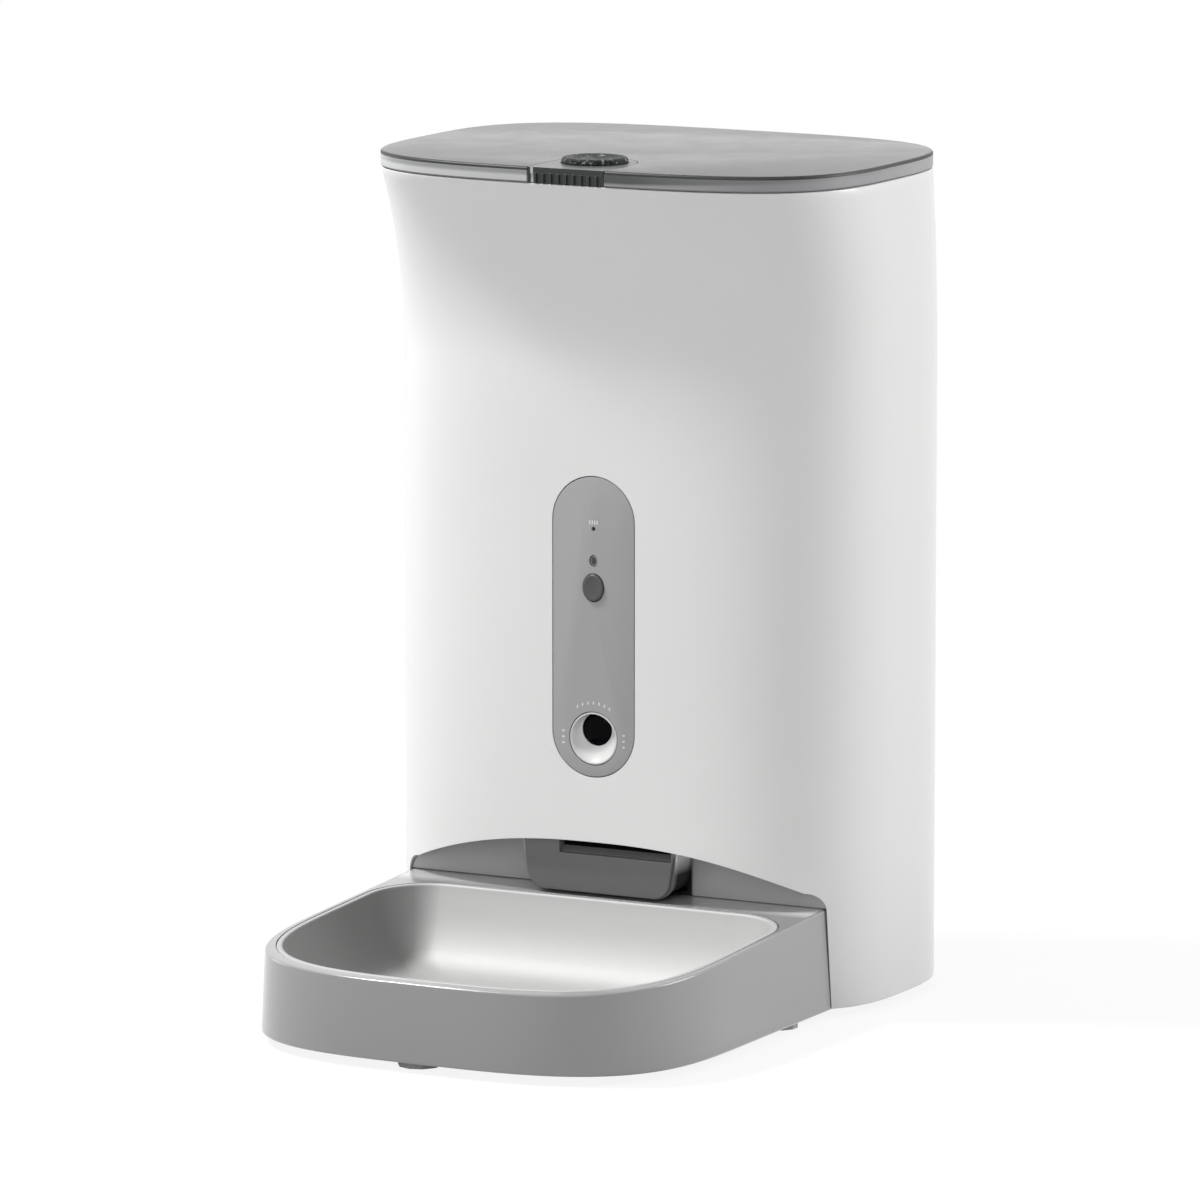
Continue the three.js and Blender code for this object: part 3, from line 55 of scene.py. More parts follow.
# The flare is a little rounder at the top than the CAD's, which the hopper follows
SHELL_EXPONENT, EXPONENT_RISE, CAD_EXPONENT_RISE = 3.2, 0.2, 0.4
INLET_RADIUS, INLET_X, INLET_Z, INLET_START = 4.8, 68.0, 12.3, 113.5
SPEAKER_X, SLOT_PITCH, SLOT_HALF_WIDTH, SLOT_LOW, SLOT_HIGH, SLOT_START = -34.0, 5.4, 0.9, 85.0, 111.0, 121.9

# Hopper: a round seat, a funnel, a straight bin and a stretch along the shell

ROTOR_Y, SEAT_RADIUS, BIN_HALF, BIN_FRONT, BIN_EXPONENT = 67.0, 44.5, 92.6, 27.0, 3.0
HOPPER_BOTTOM, FUNNEL_TOP, STRAIGHT_TOP, FLARE_JOIN, HOPPER_TOP = 120.6, 172.0, 208.0, 240.0, 304.9
HOPPER_WALL, HOPPER_CLEARANCE, HOPPER_STEPS = 2.0, 0.8, 144

# Tray, arch and bowl

TRAY_HALF, TRAY_DRAFT, TRAY_FRONT, TRAY_BACK, TRAY_BOTTOM = 85.8, 1.8, -127.4, 27.4, 3.5
TRAY_WALL, TRAY_EDGE, TRAY_EXPONENT, TRAY_OPENING, ARC_START = 2.5, 0.8, 3.26, 8.5, -44.9
RIM_HEIGHT, RIM_SLOPE = 39.4, 0.054
ARCH_HEIGHT, ARCH_DROP, ARCH_WIDTH, ARCH_SHOULDER, ARCH_CORNER, ARCH_POWER = 61.2, 13.7, 79.0, 80.0, 6.8, 2.5
BOWL_HALF, BOWL_FRONT, BOWL_BACK, BOWL_CORNER, BOWL_FLOOR_CORNER, BOWL_EXPONENT = 81.0, -120.1, 6.6, 22.0, 10.0, 3.2
BOWL_FLOOR, BOWL_SHEET, BOWL_LIP, BOWL_TAPER = 9.6, 1.0, 2.4, 27.0

# Chute wall, spout and its cover

SPOUT_FACE, SPOUT_HALF, SPOUT_LOW_HALF, SPOUT_CORNER, SPOUT_BACK, SPOUT_WALL = 9.5, 32.4, 30.4, 8.0, 45.0, 1.6
MID_FRAME_BOTTOM = 87.5
SPOUT_TOP = MID_FRAME_BOTTOM - GAP
SILL, SLOT_LEFT, SLOT_RIGHT, LIP_DEPTH, RAMP, RAMP_BACK = 55.6, -16.0, 30.0, 1.5, 2.0, 44.0
WALL_FRONT, WALL_THICKNESS, WALL_HALF, WALL_TOP, WALL_LIFT = 24.7, 2.3, 83.0, 70.0, 0.1
COVER, COVER_INSET, COVER_EDGE = 1.6, 1.1, 0.5

# Front panel with the microphone, light, button and camera

PANEL_HALF, PANEL_BOTTOM, PANEL_TOP, PANEL_THICKNESS, PANEL_FIT, PANEL_EDGE = 16.65, 85.6, 196.3, 2.3, 0.35, 0.25
PANEL_BACK = SHELL_FRONT + PANEL_THICKNESS
BOARD_FRONT = 12.5
BEFORE_BOARD = BOARD_FRONT - GAP  # where the posts, the light pipe and the microphone end
POST_RADIUS, POST_X, POST_HEIGHTS = 1.6, 9.5, (122.0, 184.0)
MIC_HEIGHT, MIC_HOLE = 177.2, 0.8
LED_HEIGHT, LED_HALF_X, LED_HALF_Z, LED_SINK = 165.4, 1.45, 1.85, 0.2
FEED_HEIGHT, FEED_HALF_X, FEED_HALF_Z, FEED_PROUD, FEED_FLANGE, FEED_FLANGE_DEPTH = 155.5, 4.2, 5.0, 0.8, 1.1, 1.0
RING_HEIGHT, RING_RADIUS, RING_MOUTH, RING_DEPTH = 99.7, 9.7, 9.0, 6.0
LENS_HEIGHT, LENS_RADIUS, LENS_DEPTH, LENS_GLASS, BARREL_BACK = 102.7, 6.1, 3.0, 1.2, 18.6

# Lid, hinge and latch

LID_HALF, LID_EXPONENT, LID_EDGE = 97.0, 3.4, 1.0
LID_BOTTOM, LID_HEIGHT, LID_PLATE, LID_RIM = 305.5, 5.7, 2.2, 3.0
LID_TOP = LID_BOTTOM + LID_HEIGHT
HINGE_X, HINGE_Y, HINGE_Z, KNUCKLE, PIN_BORE = LID_HALF / 3, 130.6, 303.0, 2.6, 1.5
ARM_WIDTH, ARM_NOTCH, EAR_WIDTH, EAR_DROP, EAR_TOP = 12.0, 12.0, 3.5, 7.0, 1.6
LID_FRAME_TOP = 308.5
LATCH_HALF, LATCH_TAB, LATCH_TRIM = 15.4, 3.0, 0.5
RIBS, RIB_PITCH, RIB_HALF, RIB_PROUD, RIB_RISE = 9, 3.08, 0.5, 0.25, 0.6
BUTTON_RADIUS, BUTTON_Y, BUTTON_PROUD, BUTTON_TRAVEL, STEM_RADIUS, STEM_BOTTOM = 12.15, 7.0, 2.1, 2.4, 3.5, 302.3


# Camera, fitted to the outlines in the photograph

CAMERA_AT = Vector((1.5245, -2.9003, 0.6876))
CAMERA_TARGET = Vector((-0.01438, 0.03561, 0.1452))
FOCAL_LENGTH, FILM_WIDTH = 273.67, 36


def build_camera_view():
    view = bpy.data.cameras.new("photo_camera")
    view.sensor_width = FILM_WIDTH
    view.lens = FOCAL_LENGTH
    view.clip_start = 0.1
    view.clip_end = 60
    eye = bpy.data.objects.new("photo_camera", view)
    bpy.context.scene.collection.objects.link(eye)
    eye.location = CAMERA_AT
    eye.rotation_euler = (CAMERA_TARGET - eye.location).to_track_quat("-Z", "Y").to_euler()
    bpy.context.scene.camera = eye


# Shader nodes

def new_material(name):
    material = bpy.data.materials.new(name)
    material.use_nodes = True
    tree = material.node_tree
    tree.nodes.clear()
    out = tree.nodes.new("ShaderNodeOutputMaterial")
    shader = tree.nodes.new("ShaderNodeBsdfPrincipled")
    tree.links.new(shader.outputs["BSDF"], out.inputs["Surface"])
    return material, tree, shader


def node(tree, kind, **values):
    made = tree.nodes.new(kind)
    for key, value in values.items():
        setattr(made, key, value)
    return made


def feed(tree, target, value):
    if isinstance(value, bpy.types.NodeSocket):
        tree.links.new(value, target)
    else:
        target.default_value = value


def maths(tree, operation, a, b=0.0):
    made = node(tree, "ShaderNodeMath", operation=operation)
    feed(tree, made.inputs[0], a)
    feed(tree, made.inputs[1], b)
    return made.outputs[0]


def size_of(tree, value):
    return maths(tree, "ABSOLUTE", value)


def noise(tree, vector, scale, detail=3.0, roughness=0.5):
    made = node(tree, "ShaderNodeTexNoise")
    feed(tree, made.inputs["Vector"], vector)
    made.inputs["Scale"].default_value = scale
    made.inputs["Detail"].default_value = detail
    made.inputs["Roughness"].default_value = roughness
    return made.outputs["Fac"]


def spread_to(tree, value, low, high, a=0.0, b=1.0):
    """Value between low and high, mapped to a and b and held there outside them."""
    made = node(tree, "ShaderNodeMapRange")
    feed(tree, made.inputs["Value"], value)
    for key, number in zip(("From Min", "From Max", "To Min", "To Max"), (low, high, a, b)):
        feed(tree, made.inputs[key], number)
    return made.outputs["Result"]


def mix_colours(tree, share, a, b):
    made = node(tree, "ShaderNodeMix", data_type="RGBA")
    feed(tree, made.inputs["Factor"], share)
    feed(tree, made.inputs["A"], a)
    feed(tree, made.inputs["B"], b)
    return made.outputs["Result"]


def scale_colour(tree, colour, factor):
    scaled = node(tree, "ShaderNodeVectorMath", operation="SCALE")
    feed(tree, scaled.inputs[0], colour)
    feed(tree, scaled.inputs["Scale"], factor)
    return scaled.outputs["Vector"]


def shade(colour, factor):
    return (colour[0] * factor, colour[1] * factor, colour[2] * factor, 1.0)


def grey(level):
    return (level, level, level, 1.0)


def axes(tree, vector):
    split = node(tree, "ShaderNodeSeparateXYZ")
    tree.links.new(vector, split.inputs["Vector"])
    return split.outputs["X"], split.outputs["Y"], split.outputs["Z"]


def facing(tree):
    """The three parts of the surface's own direction."""
    return axes(tree, node(tree, "ShaderNodeTexCoord").outputs["Normal"])


def place_in_object(tree, stretch=(1.0, 1.0, 1.0)):
    coordinates = node(tree, "ShaderNodeTexCoord")
    mapping = node(tree, "ShaderNodeMapping")
    tree.links.new(coordinates.outputs["Object"], mapping.inputs["Vector"])
    mapping.inputs["Scale"].default_value = stretch
    return mapping.outputs["Vector"]


def seen_as_background(tree):
    """1 for what the camera, gloss and clear plastic see, and 0 for the light on the object."""
    path = tree.nodes.new("ShaderNodeLightPath")
    mirrored = maths(tree, "MAXIMUM", path.outputs["Is Glossy Ray"], path.outputs["Is Transmission Ray"])
    return maths(tree, "MAXIMUM", mirrored, path.outputs["Is Camera Ray"])


def grain_normal(tree, shader, height, strength, depth, edge):
    """Bumps of the given depth in millimetres, over hard edges softened by the radius edge."""
    bump = node(tree, "ShaderNodeBump")
    bump.inputs["Strength"].default_value = strength
    bump.inputs["Distance"].default_value = depth * MM
    feed(tree, bump.inputs["Height"], height)
    if edge:
        bevel = node(tree, "ShaderNodeBevel", samples=4)
        bevel.inputs["Radius"].default_value = edge * MM
        tree.links.new(bevel.outputs["Normal"], bump.inputs["Normal"])
    tree.links.new(bump.outputs["Normal"], shader.inputs["Normal"])


# Plastic, metal and rubber. A finish is a function that tones the colour by place or direction.

def plastic(name, colour, roughness=0.4, grain=0.25, grain_size=0.45, edge=0.0, tone=0.02, specular=0.5,
            coat=0.0, finish=None, handled=1.0):
    """Moulded plastic: fine spark-eroded grain, slow colour drift, faint handling marks in the gloss."""
    material, tree, shader = new_material(name)
    where = place_in_object(tree)
    drift = spread_to(tree, noise(tree, where, 14.0, 2.0), 0.35, 0.65)
    toned = mix_colours(tree, drift, shade(colour, 1 - tone), shade(colour, 1 + tone))
    feed(tree, shader.inputs["Base Color"], finish(tree, where, toned) if finish else toned)
    marks = noise(tree, where, 55.0, 5.0, 0.6)
    feed(tree, shader.inputs["Roughness"],
         spread_to(tree, marks, 0.3, 0.7, roughness - 0.035 * handled, roughness + 0.045 * handled))
    shader.inputs["Specular IOR Level"].default_value = specular
    shader.inputs["Coat Weight"].default_value = coat
    shader.inputs["Coat Roughness"].default_value = 0.12
    grain_normal(tree, shader, noise(tree, where, 1000.0 / grain_size, 2.0), grain, 0.02, edge)
    return material


def metal(name, colour, roughness=0.25, stretch=(1.0, 1.0, 1.0), strokes=900.0, strength=0.12, edge=0.0,
          wear=0.05, metallic=1.0, specular=0.5, finish=None):
    """Brushed, plated or turned metal: fine strokes along one direction, smudges and slight tone change."""
    material, tree, shader = new_material(name)
    where = place_in_object(tree)
    lines = noise(tree, place_in_object(tree, stretch), strokes, 4.0, 0.6)
    cloud = noise(tree, where, 22.0, 3.0)
    tint = maths(tree, "ADD", maths(tree, "MULTIPLY", lines, 0.5), maths(tree, "MULTIPLY", cloud, 0.5))
    toned = mix_colours(tree, tint, shade(colour, 1 - wear), shade(colour, 1 + wear))
    feed(tree, shader.inputs["Base Color"], finish(tree, where, toned) if finish else toned)
    shader.inputs["Metallic"].default_value = metallic
    shader.inputs["Specular IOR Level"].default_value = specular
    rough = maths(tree, "ADD", maths(tree, "MULTIPLY", lines, 0.06), maths(tree, "MULTIPLY", cloud, 0.05))
    feed(tree, shader.inputs["Roughness"], maths(tree, "ADD", rough, roughness - 0.05))
    grain_normal(tree, shader, lines, strength, 0.02, edge)
    return material


def rubber(name, colour, roughness=0.75):
    return plastic(name, colour, roughness=roughness, grain=0.5, grain_size=0.3, specular=0.3, tone=0.06)


# Finishes: printed marks, and painted light, shade, highlights and reflections for what the plain lamps don't show.
# Their places are those of the frame.

TICK_TONE, TICK_INK = grey(0.8), 0.85
TICK_ROW_HEIGHT, TICK_ROW_X = 179.6, (-1.5, -0.5, 0.5, 1.5)
TICK_SCALE_X, TICK_SCALE_HEIGHTS = 12.4, (97.4, 99.6, 101.8)
TICK_ARC_RADIUS, TICK_ARC_ANGLES = 13.2, range(60, 121, 10)
COLLAR_RADIUS, COLLAR_SQUASH = 1.05, 0.72


def panel_ticks():
    """Middles and half sizes of a row over the microphone and of scales beside and above the camera."""
    ticks = [(x, TICK_ROW_HEIGHT, 0.25, 0.75) for x in TICK_ROW_X]
    ticks += [(side * TICK_SCALE_X, height, 0.5, 0.35) for side in (-1, 1) for height in TICK_SCALE_HEIGHTS]
    for turn in map(math.radians, TICK_ARC_ANGLES):
        ticks.append((TICK_ARC_RADIUS * math.cos(turn), RING_HEIGHT + TICK_ARC_RADIUS * math.sin(turn), 0.3, 0.55))
    return ticks


def panel_marks(tree, where, base):
    """Small plain ticks printed where the photograph has lettering."""
    x, _, z = axes(tree, where)

    def within(value, middle, half):
        return maths(tree, "LESS_THAN", size_of(tree, maths(tree, "SUBTRACT", value, middle * MM)), half * MM)

    marks = 0.0
    for middle_x, middle_z, half_x, half_z in panel_ticks():
        tick = maths(tree, "MULTIPLY", within(x, middle_x, half_x), within(z, middle_z, half_z))
        marks = maths(tree, "MAXIMUM", marks, tick)
    return mix_colours(tree, maths(tree, "MULTIPLY", marks, TICK_INK), base, TICK_TONE)


def chute_painted_light_and_shade(tree, where, base):
    """Painted light and shade on the chute: the wall beside the spout is painted a lighter grey than the spout for
    light in the arch's shade, the spout darkens downwards as painted shade, its slot is painted near black inside as
    painted shade, and its sides in front of the wall are painted near white as painted light.
    """
    x, y, z = axes(tree, where)
    beside = spread_to(tree, size_of(tree, x), 30.6 * MM, 31.6 * MM)
    # Darker towards the spout's bottom: painted shade.
    face = scale_colour(tree, base, spread_to(tree, z, 40 * MM, 85 * MM, 0.8, 1.15))
    # Near black behind the slot: painted shade.
    middle = mix_colours(tree, maths(tree, "GREATER_THAN", y, 10.4 * MM), face, grey(0.008))
    # Near white on the spout's sides and a lighter grey on the wall beside it: painted light.
    painted_light_sides = maths(tree, "LESS_THAN", y, 19.0 * MM)
    return mix_colours(tree, beside, middle, mix_colours(tree, painted_light_sides, grey(0.5), grey(0.95)))


def deck_painted_light(tree, where, base):
    """Painted light: the flat deck under the arch is painted a lighter tone than the tray's wall, standing in for
    light in the arch's shade.
    """
    x, y, _ = axes(tree, where)
    behind = spread_to(tree, y, 6.0 * MM, 12.0 * MM)
    inside = maths(tree, "LESS_THAN", size_of(tree, x), 84.5 * MM)
    # The lighter grey on the deck is painted light.
    return mix_colours(tree, maths(tree, "MULTIPLY", behind, inside), base, grey(0.68))


def bowl_painted_reflection(tree, where, base):
    """Painted reflection: the bowl's colour darkens where its wall faces right, so its left wall is darker than its
    floor and back, as if it mirrored a darker side of a room.
    """
    across, _, _ = facing(tree)
    # Darker as the wall turns to face right: painted reflection.
    return scale_colour(tree, base, spread_to(tree, across, 0.2, 0.6, 1.0, 0.55))


def lamp_collar(tree, where, base):
    """The light pipe's dark middle in a collar of the panel's grey."""
    offset = node(tree, "ShaderNodeVectorMath", operation="SUBTRACT")
    feed(tree, offset.inputs[0], where)
    offset.inputs[1].default_value = (0.0, 0.0, LED_HEIGHT * MM)
    flat = node(tree, "ShaderNodeVectorMath", operation="MULTIPLY")
    tree.links.new(offset.outputs["Vector"], flat.inputs[0])
    flat.inputs[1].default_value = (1.0, 0.0, COLLAR_SQUASH)
    away = node(tree, "ShaderNodeVectorMath", operation="LENGTH")
    tree.links.new(flat.outputs["Vector"], away.inputs[0])
    collar = maths(tree, "GREATER_THAN", away.outputs["Value"], COLLAR_RADIUS * MM)
    return mix_colours(tree, collar, base, grey(0.38))


def pale_top_and_painted_highlight(tree, where, base):
    """The surround's upper face has the lid's light tone, a thin pale line on the tab's left is a painted highlight,
    and its tab and ribs stay dark.
    """
    x, _, z = axes(tree, where)
    # A thin pale line near the tab's left end is a painted highlight.
    painted_highlight_line = maths(tree, "LESS_THAN", size_of(tree, maths(tree, "ADD", x, 13.7 * MM)), 0.55 * MM)
    toned = mix_colours(tree, painted_highlight_line, base, (0.5, 0.51, 0.51, 1.0))
    return mix_colours(tree, maths(tree, "GREATER_THAN", z, (LID_TOP - 0.1) * MM), toned, (0.1, 0.103, 0.103, 1.0))


def painted_glints(tree, where, base):
    """Painted glints: small bright spots of light on the dished cap."""
    specks = noise(tree, where, 520.0, 4.0, 0.7)
    # The pale specks are painted glints.
    return mix_colours(tree, spread_to(tree, specks, 0.56, 0.66), base, (0.3, 0.31, 0.31, 1.0))


def lid_rim_painted_reflections(tree, where):
    """Painted reflections on the rim under the sheet's cut edge: light and dark bands in the right and left halves, a
    painted highlight at the left end, the foot line and a plainer painted sheen on the back.
    """
    across, along, height = axes(tree, where)
    rise = maths(tree, "SUBTRACT", height, LID_BOTTOM * MM)
    far = spread_to(tree, across, 25 * MM, 90 * MM)
    border = spread_to(tree, far, 0.0, 1.0, 1.2 * MM, 3.4 * MM)
    upper = spread_to(tree, maths(tree, "SUBTRACT", rise, border), -0.5 * MM, 0.5 * MM)
    # The right half's dark band, which lightens to the right, is painted reflection.
    dark = mix_colours(tree, far, (0.085, 0.09, 0.088, 1.0), (0.34, 0.345, 0.345, 1.0))
    right = mix_colours(tree, upper, (0.42, 0.42, 0.44, 1.0), dark)
    left_upper = spread_to(tree, rise, 2.2 * MM, 3.2 * MM)
    left = mix_colours(tree, left_upper, (0.7, 0.705, 0.705, 1.0), (0.36, 0.365, 0.365, 1.0))
    # The pale left end is a painted highlight.
    left = mix_colours(tree, spread_to(tree, across, -94 * MM, -78 * MM), (0.85, 0.855, 0.855, 1.0), left)
    rim = mix_colours(tree, maths(tree, "LESS_THAN", across, 0.0), right, left)
    rim = mix_colours(tree, maths(tree, "LESS_THAN", rise, 0.45 * MM), rim, grey(0.3))
    # The back's even light grey is painted sheen.
    rim = mix_colours(tree, spread_to(tree, along, 30 * MM, 70 * MM), rim, (0.5, 0.505, 0.505, 1.0))
    under_sheet = maths(tree, "LESS_THAN", height, (LID_TOP - 1.3) * MM)
    return mix_colours(tree, under_sheet, (0.015, 0.016, 0.016, 1.0), rim)


def smoked_glass(name, tint, through, roughness):
    """Clear smoked polycarbonate: glossy skin over a tinted body, with faint sink waves and handling marks."""
    material, tree, shader = new_material(name)
    where = place_in_object(tree)
    body = mix_colours(tree, noise(tree, where, 9.0, 2.0), shade(tint, 0.96), shade(tint, 1.04))
    _, _, height = axes(tree, where)
    upright = maths(tree, "LESS_THAN", size_of(tree, facing(tree)[2]), 0.8)
    side = maths(tree, "MULTIPLY", upright, maths(tree, "LESS_THAN", height, (LID_TOP - 0.25) * MM))
    # The upright side band takes the rim's painted reflections in place of the tint.
    feed(tree, shader.inputs["Base Color"], mix_colours(tree, side, body, lid_rim_painted_reflections(tree, where)))
    feed(tree, shader.inputs["Transmission Weight"], spread_to(tree, side, 0.0, 1.0, through, 0.25))
    marks = spread_to(tree, noise(tree, where, 70.0, 5.0, 0.65), 0.35, 0.75, roughness, roughness + 0.05)
    feed(tree, shader.inputs["Roughness"], maths(tree, "MAXIMUM", marks, maths(tree, "MULTIPLY", side, 0.45)))
    shader.inputs["IOR"].default_value = 1.5
    grain_normal(tree, shader, noise(tree, where, 40.0, 2.0), 0.05, 0.1, 0.3)
    return material


# The materials, one for each finish

LOOKS = {
    "white": plastic("white_shell", (0.86, 0.86, 0.855), roughness=0.36, grain=0.16, tone=0.006, edge=0.35,
                     coat=0.4),
    "funnel": plastic("funnel_white", (0.7, 0.7, 0.695), roughness=0.4, grain=0.1, tone=0.006, edge=0.15),
    "grey": plastic("silver_grey_base", (0.3, 0.3, 0.3), roughness=0.26, grain=0.04, tone=0.006, edge=0.3,
                    coat=0.85, finish=deck_painted_light, handled=0.25),
    "spout": plastic("spout_grey", (0.2, 0.2, 0.2), roughness=0.42, grain=0.2, tone=0.015, edge=0.25,
                     specular=0.25, finish=chute_painted_light_and_shade, handled=0.5),
    "panel": plastic("panel_grey", (0.40, 0.40, 0.40), roughness=0.48, grain=0.12, tone=0.008, edge=0.15,
                     specular=0.35, finish=panel_marks),
    "steel_bowl": metal("satin_bowl", (0.49, 0.49, 0.486), roughness=0.66, strokes=650.0, strength=0.02,
                        wear=0.012, metallic=0.6, specular=0.12, finish=bowl_painted_reflection),
    "dark": plastic("latch_dark", (0.045, 0.05, 0.05), roughness=0.28, grain=0.2, tone=0.05, edge=0.15),
    "button": plastic("button_dark_grey", (0.075, 0.075, 0.078), roughness=0.4, grain=0.2, tone=0.04),
    "black": plastic("matt_black", (0.018, 0.018, 0.02), roughness=0.5, grain=0.3, edge=0.2),
    "natural": plastic("hopper_natural", (0.66, 0.655, 0.63), roughness=0.45, grain=0.2, edge=0.25),
    "acetal": plastic("acetal_white", (0.78, 0.765, 0.72), roughness=0.35, grain=0.15, edge=0.15),
    "board": plastic("solder_mask", (0.02, 0.11, 0.045), roughness=0.35, grain=0.4, grain_size=1.6, tone=0.25),
    "silicone": rubber("silicone_grey", (0.22, 0.23, 0.235), 0.6),
    # The feet are grey rubber; their light grey is raised as painted light, for light from the floor reaching into
    # their contact shadow.
    "rubber": rubber("foot_rubber", (0.62, 0.62, 0.62)),
    "steel": metal("plated_steel", (0.6, 0.6, 0.59), roughness=0.28, stretch=(1.0, 1.0, 0.08), edge=0.15),
    "brass": metal("turned_brass", (0.72, 0.52, 0.24), roughness=0.25, stretch=(1.0, 1.0, 0.1), edge=0.1),
    "lamp": plastic("led_frosted", (0.06, 0.065, 0.07), roughness=0.3, grain=0.1, specular=0.3,
                    finish=lamp_collar),
    "latch": plastic("latch_surround", (0.018, 0.022, 0.021), roughness=0.28, grain=0.2, tone=0.05, edge=0.15,
                     finish=pale_top_and_painted_highlight),
    "cap": plastic("button_cap", (0.015, 0.017, 0.017), roughness=0.45, grain=0.2, tone=0.05, edge=0.2,
                   specular=0.1, finish=painted_glints),
    "smoke": smoked_glass("smoked_lid", (0.085, 0.088, 0.088), 0.85, 0.16),
    "lens": plastic("lens_black_glass", (0.002, 0.002, 0.003), roughness=0.06, grain=0.02, specular=0.04),
}


# Outlines and solids. A solid gets its look from settle.

def turn_outwards(data):
    mesh = bmesh.new()
    mesh.from_mesh(data)
    bmesh.ops.recalc_face_normals(mesh, faces=mesh.faces)
    mesh.to_mesh(data)
    mesh.free()


def dress(data, look, sharp):
    """Smooth shading, with edges sharp from an angle in degrees, and one of the looks."""
    data.polygons.foreach_set("use_smooth", [True] * len(data.polygons))
    data.set_sharp_from_angle(angle=math.radians(sharp))
    data.materials.clear()
    data.materials.append(LOOKS[look])


def new_object(name, vertices, faces):
    data = bpy.data.meshes.new(name)
    data.from_pydata([place(*v) for v in vertices], [], faces)
    data.validate()
    turn_outwards(data)
    made = bpy.data.objects.new(name, data)
    bpy.context.scene.collection.objects.link(made)
    return made


def loft(name, rings, closed=False):
    """Solid through rings of points, capped at both ends or closed from the last ring to the first."""
    count = len(rings[0])
    vertices = [p for ring in rings for p in ring]
    faces = []
    for k in range(len(rings) if closed else len(rings) - 1):
        low, high = k * count, ((k + 1) % len(rings)) * count
        for i in range(count):
            after = (i + 1) % count
            faces.append((low + i, low + after, high + after, high + i))
    if not closed:
        faces.append(tuple(reversed(range(count))))
        faces.append(tuple(range((len(rings) - 1) * count, len(rings) * count)))
    return new_object(name, vertices, faces)


def lofts_of(outline, levels):
    """Rings of one outline function at (inset, height) pairs."""
    return [[(x, y, z(x, y) if callable(z) else z) for x, y in outline(inset)] for inset, z in levels]


def quarter_round(radius, steps):
    """Pairs of inset and depth along a rounded rim, from the flat face to the side."""
    turns = [math.pi / 2 * i / steps for i in range(steps + 1)]
    return [(radius * (1 - math.sin(turn)), radius * (1 - math.cos(turn))) for turn in turns]


def prism(name, points, z0, z1):
    return loft(name, [[(x, y, z) for x, y in points] for z in (z0, z1)])


def box(name, x0, x1, y0, y1, z0, z1):
    return prism(name, [(x0, y0), (x1, y0), (x1, y1), (x0, y1)], z0, z1)


def turn_to_y(points_xz, y):
    return [(x, y, z) for x, z in points_xz]


def bar_along_y(name, points_xz, y0, y1):
    return loft(name, [turn_to_y(points_xz, y0), turn_to_y(points_xz, y1)])


def plate_along_y(name, outline, y0, y1, edge):
    """Prism along Y of a function of the inset, with its front rim (y0) rounded."""
    rings = [turn_to_y(outline(inset), y0 + depth) for inset, depth in quarter_round(edge, 3)]
    return loft(name, rings + [turn_to_y(outline(0), y1)])


def bar_along_x(name, points_yz, x0, x1):
    return loft(name, [[(x, y, z) for y, z in points_yz] for x in (x0, x1)])


def oval(half_u, half_v, v=0.0, u=0.0, steps=64):
    turns = [2 * math.pi * i / steps for i in range(steps)]
    return [(u + half_u * math.cos(turn), v + half_v * math.sin(turn)) for turn in turns]


def circle(radius, u=0.0, v=0.0, steps=48):
    return oval(radius, radius, v, u, steps)


def arc(u, v, radius, start, end, steps):
    turns = [start + (end - start) * i / steps for i in range(steps + 1)]
    return [(u + radius * math.cos(turn), v + radius * math.sin(turn)) for turn in turns]


def rod_along_y(name, radius, x, z, y0, y1, steps=48):
    return bar_along_y(name, circle(radius, x, z, steps), y0, y1)


def rod_along_x(name, radius, y, z, x0, x1):
    return bar_along_x(name, circle(radius, y, z, 32), x0, x1)


def turned(name, profile, axis, at, steps=64):
    """Solid of revolution of (radius, height) points, from one end of its axis to the other."""
    def point(radius, height, turn):
        c, s = radius * math.cos(turn), radius * math.sin(turn)
        local = {"Z": (c, s, height), "Y": (c, height, s)}[axis]
        return (at[0] + local[0], at[1] + local[1], at[2] + local[2])

    vertices, rows, faces = [], [], []
    for radius, height in profile:
        if radius == 0:
            rows.append([len(vertices)] * steps)
            vertices.append(point(0, height, 0))
        else:
            rows.append([len(vertices) + i for i in range(steps)])
            vertices += [point(radius, height, 2 * math.pi * i / steps) for i in range(steps)]
    for a, b in zip(rows, rows[1:]):
        for i in range(steps):
            j = (i + 1) % steps
            corners = tuple(dict.fromkeys((a[i], a[j], b[j], b[i])))
            if len(corners) > 2:
                faces.append(corners)
    return new_object(name, vertices, faces)


def combine(base, others, operation):
    """Boolean of base with the others, which are removed."""
    for other in others:
        step = base.modifiers.new("step", "BOOLEAN")
        step.operation = operation
        step.solver = "EXACT"
        step.object = other
    graph = bpy.context.evaluated_depsgraph_get()
    fresh = bpy.data.meshes.new_from_object(base.evaluated_get(graph))
    base.modifiers.clear()
    base.data = fresh
    for other in others:
        bpy.data.objects.remove(other)


def cut(base, *others):
    combine(base, others, "DIFFERENCE")


def join(base, *others):
    combine(base, others, "UNION")


def keep(base, *others):
    combine(base, others, "INTERSECT")


def settle(made, look, body, nodes, sharp=32.0):
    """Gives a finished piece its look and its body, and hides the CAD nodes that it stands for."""
    turn_outwards(made.data)
    dress(made.data, look, sharp)
    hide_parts(*nodes)
    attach(made, body)


def super_point(turn, half_x, half_y, middle, exponent, inset):
    """Point of a superellipse round 0, middle, moved inwards square to its edge."""
    c, s = math.cos(turn), math.sin(turn)
    x = math.copysign(abs(c) ** (2 / exponent), c)
    y = math.copysign(abs(s) ** (2 / exponent), s)
    normal = Vector((math.copysign(abs(x) ** (exponent - 1), x) / half_x,
                     math.copysign(abs(y) ** (exponent - 1), y) / half_y)).normalized()
    return x * half_x - normal.x * inset, middle + y * half_y - normal.y * inset


